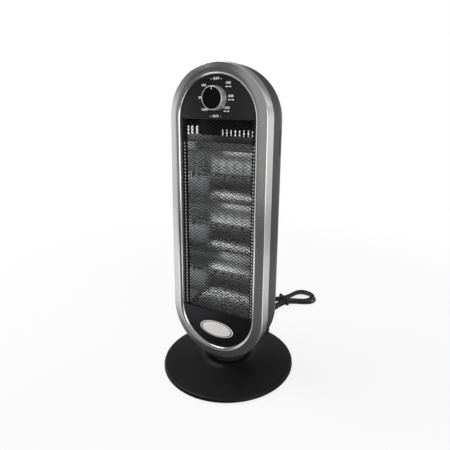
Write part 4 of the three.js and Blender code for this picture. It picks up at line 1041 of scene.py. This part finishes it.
knob = {
    "backY": -52.6 * mm, "length": 17.5 * mm, "radius": 21 * mm, "rim": 2.3 * mm, "faceDepth": 2.5 * mm,
    "faceGap": 0.3 * mm, "bore": 3.5 * mm, "boreDepth": 7.5 * mm, "pointerLength": 4 * mm,
    "pointerWidth": 1.8 * mm, "pointerGap": 0.05 * mm, "pointerSink": 0.5 * mm, "pointerDepth": 1.2 * mm,
    "pointerTop": 0.3 * mm, "pointerRound": 0.15 * mm,
    "rimSink": 0.2 * mm, "rimRound": 1.4 * mm, "taper": 0.6 * mm, "backTaper": 0.2 * mm, "backStep": 2 * mm,
    "smallRound": 0.5 * mm, "backRound": 0.6 * mm, "faceEdge": 0.4 * mm, "faceSink": 1 * mm,
    "dishRound": 4 * mm,
}


def makeKnob():
    back, radius, centre = knob["backY"], knob["radius"], (0, 0, panel["knobZ"])
    front, boreEnd = back - knob["length"], back - knob["boreDepth"]
    crest, floor, rim = front + knob["rimSink"], front + knob["faceDepth"], radius - knob["rim"]
    ring = turned([
        (0, boreEnd), (knob["bore"], boreEnd), (knob["bore"], back),
        (radius - knob["backTaper"], back, knob["backRound"]), (radius, back - knob["backStep"]),
        (radius - knob["taper"], crest, knob["rimRound"]), (rim, crest, knob["smallRound"]),
        (rim, floor), (0, floor),
    ], "Y", centre)
    makePiece("knobRing", ring, "knobMetal", "knob", "knob_ring")
    edge, dish = rim - knob["faceGap"], front + knob["faceSink"]
    face = turned([(0, floor), (edge, floor), (edge, front + knob["faceEdge"], knob["smallRound"]),
                   (edge / 2, dish, knob["dishRound"]), (0, dish)], "Y", centre)
    top, half, gap = panel["knobZ"] + edge, knob["pointerWidth"] / 2, knob["pointerGap"]
    low, slotEnd = top - knob["pointerLength"], front + knob["pointerDepth"]
    notch = block((-half, front - 1 * mm, low), (half, slotEnd, top + 2 * mm))  # it reaches past the face
    makePiece("knobFace", cut(face, notch), "knobPlastic", "knob", "knob_face")
    pointer = block((-half + gap, front + knob["pointerSink"], low + gap),
                    (half - gap, slotEnd, top - knob["pointerTop"]), knob["pointerRound"])
    makePiece("knobPointer", pointer, "dialPrint", "knob")


makeKnob()
print("knob made")

# ---- grille: expanded metal with folded side flanges

grille = {
    "frontY": -44.4 * mm, "halfWidth": 69.7 * mm, "bottom": 133 * mm, "top": 515 * mm, "flange": 1.5 * mm,
    "cellWidth": 11 * mm, "cellHeight": 6.2 * mm, "strand": 0.95 * mm, "thick": 0.5 * mm, "tilt": 0.5 * mm,
    "foldY": -47.6 * mm, "foldReach": 76.6 * mm, "foldLap": 0.3 * mm, "borderDepth": 1.2 * mm,
    "slit": (1.9 * mm, 2.4 * mm), "slitX": 72 * mm,
}


def strandBar(start, end):
    # one strand of the mesh: a thin strip that leans back towards its top
    half, tilt, thick = grille["strand"] / 2, grille["tilt"], grille["thick"]
    bm = bmesh.new()
    section = [(-tilt, -half), (-tilt + thick, -half), (tilt, half), (tilt - thick, half)]
    face = bm.faces.new([bm.verts.new((start[0], y, start[1] + z)) for y, z in section])
    return pushed(bm, [face], (end[0] - start[0], 0, end[1] - start[1]))


def repeated(bm, count, step):
    unit = everything(bm)
    for i in range(1, count):
        copy = bmesh.ops.duplicate(bm, geom=unit)["geom"]
        bmesh.ops.translate(bm, verts=vertsIn(copy), vec=Vector(step) * i)
    return bm


def makeGrille():
    w, h = grille["cellWidth"], grille["cellHeight"]
    left, right, low, high = (0, 0), (w, 0), (w / 2, -h / 2), (w / 2, h / 2)
    net = gathered(*[strandBar(*ends) for ends in ((left, high), (left, low), (high, right), (low, right))])
    inner = grille["halfWidth"] - grille["flange"]
    columns = math.ceil(2 * inner / w)
    repeated(net, columns, (w, 0, 0))
    repeated(net, math.ceil((grille["top"] - grille["bottom"]) / h), (0, 0, h))
    shifted(net, (-columns * w / 2, grille["frontY"] + grille["thick"], grille["bottom"] + h / 2))
    for side in (-1, 1):
        capped(trimmed(net, (side * inner, 0, 0), (side, 0, 0)))
    makePiece("grilleMesh", net, "grilleWire", "heater_body", "grille", sharp=60)


def flangeUnit():
    # one pitch of the folded strip, with the slit that the stretching leaves in it
    h, (slitX, slitZ), y = grille["cellHeight"], grille["slit"], grille["foldY"]
    low, high = grille["halfWidth"] + grille["foldLap"], grille["foldReach"]
    diamond = [(0, -slitZ), (slitX, 0), (0, slitZ), (-slitX, 0)]
    rings = [[(low, 0), (high, 0), (high, h), (low, h)],
             [(grille["slitX"] + x, h / 2 + z) for x, z in diamond]]
    bm = bmesh.new()
    loops = []
    for ring in rings:
        verts = [bm.verts.new((x, y, z)) for x, z in ring]
        loops += [bm.edges.new(pair) for pair in zip(verts, verts[1:] + verts[:1])]
    bmesh.ops.bridge_loops(bm, edges=loops)
    return bm


def makeFlanges():
    reach, bottom, top = grille["halfWidth"], grille["bottom"], grille["top"]
    h, frontY = grille["cellHeight"], grille["frontY"]
    for side, name in ((1, "Right"), (-1, "Left")):
        strip = repeated(flangeUnit(), round((top - bottom) / h), (0, 0, h))
        bmesh.ops.remove_doubles(strip, verts=strip.verts, dist=mergeReach)
        shifted(pushed(strip, strip.faces, (0, grille["thick"], 0)), (0, 0, bottom))
        border = block((reach - grille["flange"], frontY, bottom),
                       (reach, frontY + grille["borderDepth"], top))
        fold = block((reach - grille["thick"], grille["foldY"], bottom),
                     (reach + grille["foldLap"], frontY, top))
        flange = mirrorable(gathered(strip, border, fold), side)
        makePiece("grilleFlange" + name, flange, "blackSheet", "heater_body")


makeGrille()
makeFlanges()
print("grille made")

# ---- heating chamber: reflector and lamps

chamber = {
    "halfWidth": 69.7 * mm, "troughBackY": -2 * mm, "troughDepth": 26 * mm, "pitch": 98 * mm,
    "lampZs": (207 * mm, 305 * mm, 403 * mm), "top": 467 * mm, "lip": (-42.8 * mm, 135 * mm),
    "sheet": 1 * mm, "arcSteps": 24, "edgeXs": (70.6 * mm, 76.4 * mm), "edgeY": -47.05 * mm,
    "edgeDepth": 0.6 * mm,
}


def makeReflector():
    half, depth, side = chamber["pitch"] / 2, chamber["troughDepth"], chamber["halfWidth"]
    radius = (half * half + depth * depth) / (2 * depth)
    reach = math.asin(half / radius)
    backY, ridgeY = chamber["troughBackY"], chamber["troughBackY"] - depth
    bm = bmesh.new()
    lip = bm.verts.new((-side, *chamber["lip"]))
    start = bm.verts.new((-side, ridgeY, chamber["lampZs"][0] - half))
    bm.edges.new((lip, start))
    row = [start]
    for z in chamber["lampZs"]:
        row = vertsIn(spun(bm, row, (0, backY - radius, z), (1, 0, 0), 2 * reach, chamber["arcSteps"]))
    end = bm.verts.new((-side, ridgeY, chamber["top"]))
    bm.edges.new((row[0], end))
    drawnOut(bm, list(bm.edges), (2 * side, 0, 0))
    bmesh.ops.remove_doubles(bm, verts=bm.verts, dist=mergeReach)
    bmesh.ops.recalc_face_normals(bm, faces=bm.faces)
    if sum(face.normal.y for face in bm.faces) > 0:
        bmesh.ops.reverse_faces(bm, faces=bm.faces)
    bmesh.ops.solidify(bm, geom=bm.faces, thickness=chamber["sheet"])
    bmesh.ops.recalc_face_normals(bm, faces=bm.faces)
    makePiece("reflectorSheet", bm, "polishedSheet", "heater_body", "reflector")


def makeReflectorEdges():
    # the edges of the reflector's sides, which show through the slits of the grille's folds
    (low, high), y, depth = chamber["edgeXs"], chamber["edgeY"], chamber["edgeDepth"]
    for side, name in ((1, "Right"), (-1, "Left")):
        strip = block((low, y, chamber["lip"][1]), (high, y + depth, chamber["top"]), 0.15 * mm)
        makePiece("reflectorEdge" + name, mirrorable(strip, side), "satinSheet", "heater_body")


lamp = {
    "y": -22 * mm, "tubeRadius": 5.5 * mm, "tubeWall": 1.2 * mm, "tubeHalf": 86 * mm, "tubeRound": 0.4 * mm,
    "capStart": 71.3 * mm, "capEnd": 88.3 * mm, "capHalf": 8 * mm, "capRound": 1.2 * mm, "gap": 0.3 * mm,
    "coilRadius": 1.15 * mm, "coilWire": 0.28 * mm, "coilPitch": 1.5 * mm, "coilHalf": 66 * mm,
    "coilSteps": 10, "stemRadius": 0.5 * mm, "discs": 7, "discRadius": 3.9 * mm, "discWire": 0.25 * mm,
}


def coilMesh():
    # a fine coil along X, made by screwing a small square section
    bm = bmesh.new()
    wire, radius, half = lamp["coilWire"], lamp["coilRadius"], lamp["coilHalf"]
    corners = [(0, radius - wire), (wire, radius), (0, radius + wire), (-wire, radius)]
    face = bm.faces.new([bm.verts.new((x, 0, z)) for x, z in corners])
    turns = round(2 * half / lamp["coilPitch"])
    steps = turns * lamp["coilSteps"]
    spun(bm, [face, *face.edges, *face.verts], (0, 0, 0), (1, 0, 0), fullTurn * turns, steps,
         rise=(2 * half / steps, 0, 0))
    return shifted(bm, (-half, 0, 0))


def filament(centre):
    # the coil, a stem at each end of it, and the discs that hold it in the middle of the tube
    half, wire = lamp["coilHalf"], lamp["discWire"]
    inner, outer = lamp["coilRadius"] + lamp["gap"], lamp["discRadius"]
    parts = [shifted(coilMesh(), centre)]
    for side in (-1, 1):
        parts.append(rod(lamp["stemRadius"], side * half, side * lamp["tubeHalf"], "X", centre, 10))
    for i in range(lamp["discs"]):
        x = half * (2 * (i + 0.5) / lamp["discs"] - 1)
        parts.append(turned([(inner, x - wire), (outer, x - wire), (outer, x + wire), (inner, x + wire)],
                            "X", centre, closed=True, steps=20))
    return gathered(*parts)


def makeCap(index, z, side, sideName):
    # a square cap with a bore that the tube's end goes into
    y, half, gap = lamp["y"], lamp["capHalf"], lamp["gap"]
    x0, x1 = sorted((side * lamp["capStart"], side * lamp["capEnd"]))
    cap = block((x0, y - half, z - half), (x1, y + half, z + half), lamp["capRound"], 3)
    bore = rod(lamp["tubeRadius"] + gap, side * (lamp["capStart"] - 2 * mm), side * (lamp["tubeHalf"] + gap),
               "X", (0, y, z), 48)
    makePiece("lampCap%s%d" % (sideName.capitalize(), index), cut(cap, bore), "whiteCeramic", "heater_body",
              "lamp_cap_%s_%d" % (sideName, index))


def makeLamps():
    outer, half, rounding = lamp["tubeRadius"], lamp["tubeHalf"], lamp["tubeRound"]
    bore = outer - lamp["tubeWall"]
    corners = [(bore, -half), (outer, -half, rounding), (outer, half, rounding), (bore, half)]
    for index, z in enumerate(chamber["lampZs"], 1):
        centre = (0, lamp["y"], z)
        tube = turned(corners, "X", centre, closed=True, steps=48)
        makePiece("quartzTube%d" % index, tube, "clearQuartz", "heater_body", "quartz_tube_%d" % index)
        makePiece("filamentCoil%d" % index, filament(centre), "tungsten", "heater_body",
                  "filament_%d" % index)
        makeCap(index, z, 1, "right")
        makeCap(index, z, -1, "left")


makeReflector()
makeReflectorEdges()
makeLamps()
print("reflector and lamps made")

# ---- base, collar and feet

base = {
    "radius": 136.3 * mm, "height": 23 * mm, "underside": 2.7 * mm, "wall": 2.7 * mm, "postHole": 11.3 * mm,
    "rimTop": 8.7 * mm,
    # the profile's corners, down the outside and back up the inside: radius, height and rounding
    "slope": ((49 * mm, 23 * mm, 3.5 * mm), (57 * mm, 18.1 * mm, 5 * mm), (76 * mm, 14 * mm, 9 * mm),
              (102 * mm, 11.7 * mm, 9 * mm)),
    "rim": ((134.2 * mm, 8.7 * mm, 2.2 * mm), (136.3 * mm, 6 * mm, 1.2 * mm)),
    "hollow": ((102 * mm, 9 * mm, 6 * mm), (75 * mm, 11.3 * mm, 6 * mm), (53.3 * mm, 15.8 * mm, 3 * mm),
               (47 * mm, 20.3 * mm, 2 * mm)),
    "outletReach": 148 * mm, "outletHalf": 18 * mm, "outletBottom": 1.2 * mm, "outletTop": 13.4 * mm,
    "outletFlare": 6 * mm, "outletRound": 2 * mm, "outletGap": 0.3 * mm, "outletBore": 4.8 * mm,
}


def makeBase():
    r, low, wall, hole = base["radius"], base["underside"], base["wall"], base["postHole"]
    cover = turned([
        (hole, base["height"]), *base["slope"], *base["rim"], (r, low), (r - wall, low),
        (r - wall, base["rimTop"] - wall, 1 * mm), *base["hollow"], (hole, base["height"] - wall),
    ], closed=True, steps=160)
    makePiece("baseCover", cover, "basePlastic", "base", "base_cover")


def makeOutlet():
    half, flare, reach = base["outletHalf"], base["outletFlare"], base["outletReach"]
    root = base["radius"] - flare
    points = [(-half - flare, root), (half + flare, root), (half, reach), (-half, reach)]
    nose = prism(points, lambda x, y: (x, y, base["outletBottom"]),
                 (0, 0, base["outletTop"] - base["outletBottom"]))
    rounded = [edge for edge in sharpEdges(nose, 20) if any(vert.co.y > root + 1 * mm for vert in edge.verts)]
    soften(nose, rounded, base["outletRound"], 4)
    inside = rod(base["radius"] + base["outletGap"], -1 * mm, 20 * mm, steps=160)
    bore = rod(base["outletBore"], root, reach + 3 * mm, "Y", (0, 0, cord["reliefHeight"]), 32)
    turn = Matrix.Rotation(cord["outletTurn"], 4, "Z")
    outlet = cut(cut(placed(nose, turn), inside), placed(bore, turn))
    makePiece("cordOutlet", outlet, "basePlastic", "base", "cord_outlet")


relief = {
    "start": 136.9 * mm, "radius": 4.5 * mm, "tipRadius": 3.6 * mm, "ribs": 5, "ribWidth": 1.6 * mm,
    "grooveDepth": 0.8 * mm, "grooveSlope": 0.4 * mm,
}


def makeRelief():
    # a tapered sleeve with grooves, so that it can bend
    start, mouth, tip = relief["start"], base["outletReach"] + 1 * mm, cord["reliefTip"]
    corners = [(0, start), (relief["radius"], start, 0.4 * mm), (relief["radius"], mouth)]
    pitch = (tip - mouth) / (relief["ribs"] + 0.5)
    for i in range(relief["ribs"]):
        y = mouth + (i + 0.5) * pitch
        outer = relief["radius"] - (relief["radius"] - relief["tipRadius"]) * (i + 0.5) / relief["ribs"]
        bottom, slope, end = outer - relief["grooveDepth"], relief["grooveSlope"], y + relief["ribWidth"]
        corners += [(outer, y), (bottom, y + slope), (bottom, end), (outer - 0.1 * mm, end + slope)]
    corners += [(relief["tipRadius"], tip, 0.4 * mm), (0, tip)]
    sleeve = turned(corners, "Y", (0, 0, cord["reliefHeight"]), steps=32)
    placed(sleeve, Matrix.Rotation(cord["outletTurn"], 4, "Z"))
    makePiece("strainRelief", sleeve, "softRubber", "base", "strain_relief")


feet = {
    "outer": 131 * mm, "inner": 113 * mm, "arc": radians(28), "first": radians(-61), "height": 2.7 * mm,
    "round": 0.8 * mm, "count": 4,
}


def makeFeet():
    inner, outer, height, rounding = feet["inner"], feet["outer"], feet["height"], feet["round"]
    for i in range(feet["count"]):
        middle = feet["first"] + i * fullTurn / feet["count"]
        bm = bmesh.new()
        row = chain(bm, [(inner, 0, rounding), (outer, 0, rounding), (outer, height), (inner, height)],
                    lambda r, z: (r, 0, z), True)
        placed(bm, Matrix.Rotation(middle - feet["arc"] / 2, 4, "Z"))
        spun(bm, row, (0, 0, 0), (0, 0, 1), feet["arc"], 12)
        makePiece("foot%d" % (i + 1), cleaned(capped(bm)), "softRubber", "base", "foot_%d" % (i + 1))


collar = {
    "radius": 43 * mm, "bottom": 24.3 * mm, "bore": 11.5 * mm, "top": 120 * mm, "gap": 0.3 * mm,
    "cutFrontY": -160 * mm,
}


def makeCollar():
    bore, radius, bottom, top = collar["bore"], collar["radius"], collar["bottom"], collar["top"]
    sleeve = turned([(bore, bottom), (radius, bottom, 1 * mm), (radius, top), (bore, top)], closed=True)
    # the body, grown by the gap and solid to the front, is cut out of the sleeve
    side, backY = outline["halfWidth"] + collar["gap"], shell["backY"] + collar["gap"]
    grown = stadiumSwept([(0, collar["cutFrontY"])] + shellCurve(side, backY, collar["cutFrontY"]), False)
    # the collar takes the shell's lighter grey plastic as painted light, standing in for the fill light that
    # the body keeps from it
    makePiece("neckCollar", cut(sleeve, grown), "shellPlastic", "heater_body", "neck_collar")


makeBase()
makeOutlet()
makeRelief()
makeFeet()
makeCollar()
print("base made")

# ---- the solids that stay as they are get their own finish

plainNodes = {
    "polishedZinc": ("lamp_bracket_right", "lamp_bracket_left"),
    "zincSteel": ("heat_shield", "control_baffle", "switch_shaft", "base_plate", "swivel_post", "swing_arm",
                  "post_nut", "motor_crank", "swivel_plate", "oscillation_motor"),
    "creamPlastic": ("thermal_cutout", "rotary_switch", "tip_switch", "tip_plunger", "thrust_washer",
                     "terminal_block"),
}
for finish, nodeNames in plainNodes.items():
    for nodeName in nodeNames:
        for slot in cadNodes[nodeName].material_slots:
            slot.material = finishes[finish][0]
print("solids finished:", sum(len(nodeNames) for nodeNames in plainNodes.values()))
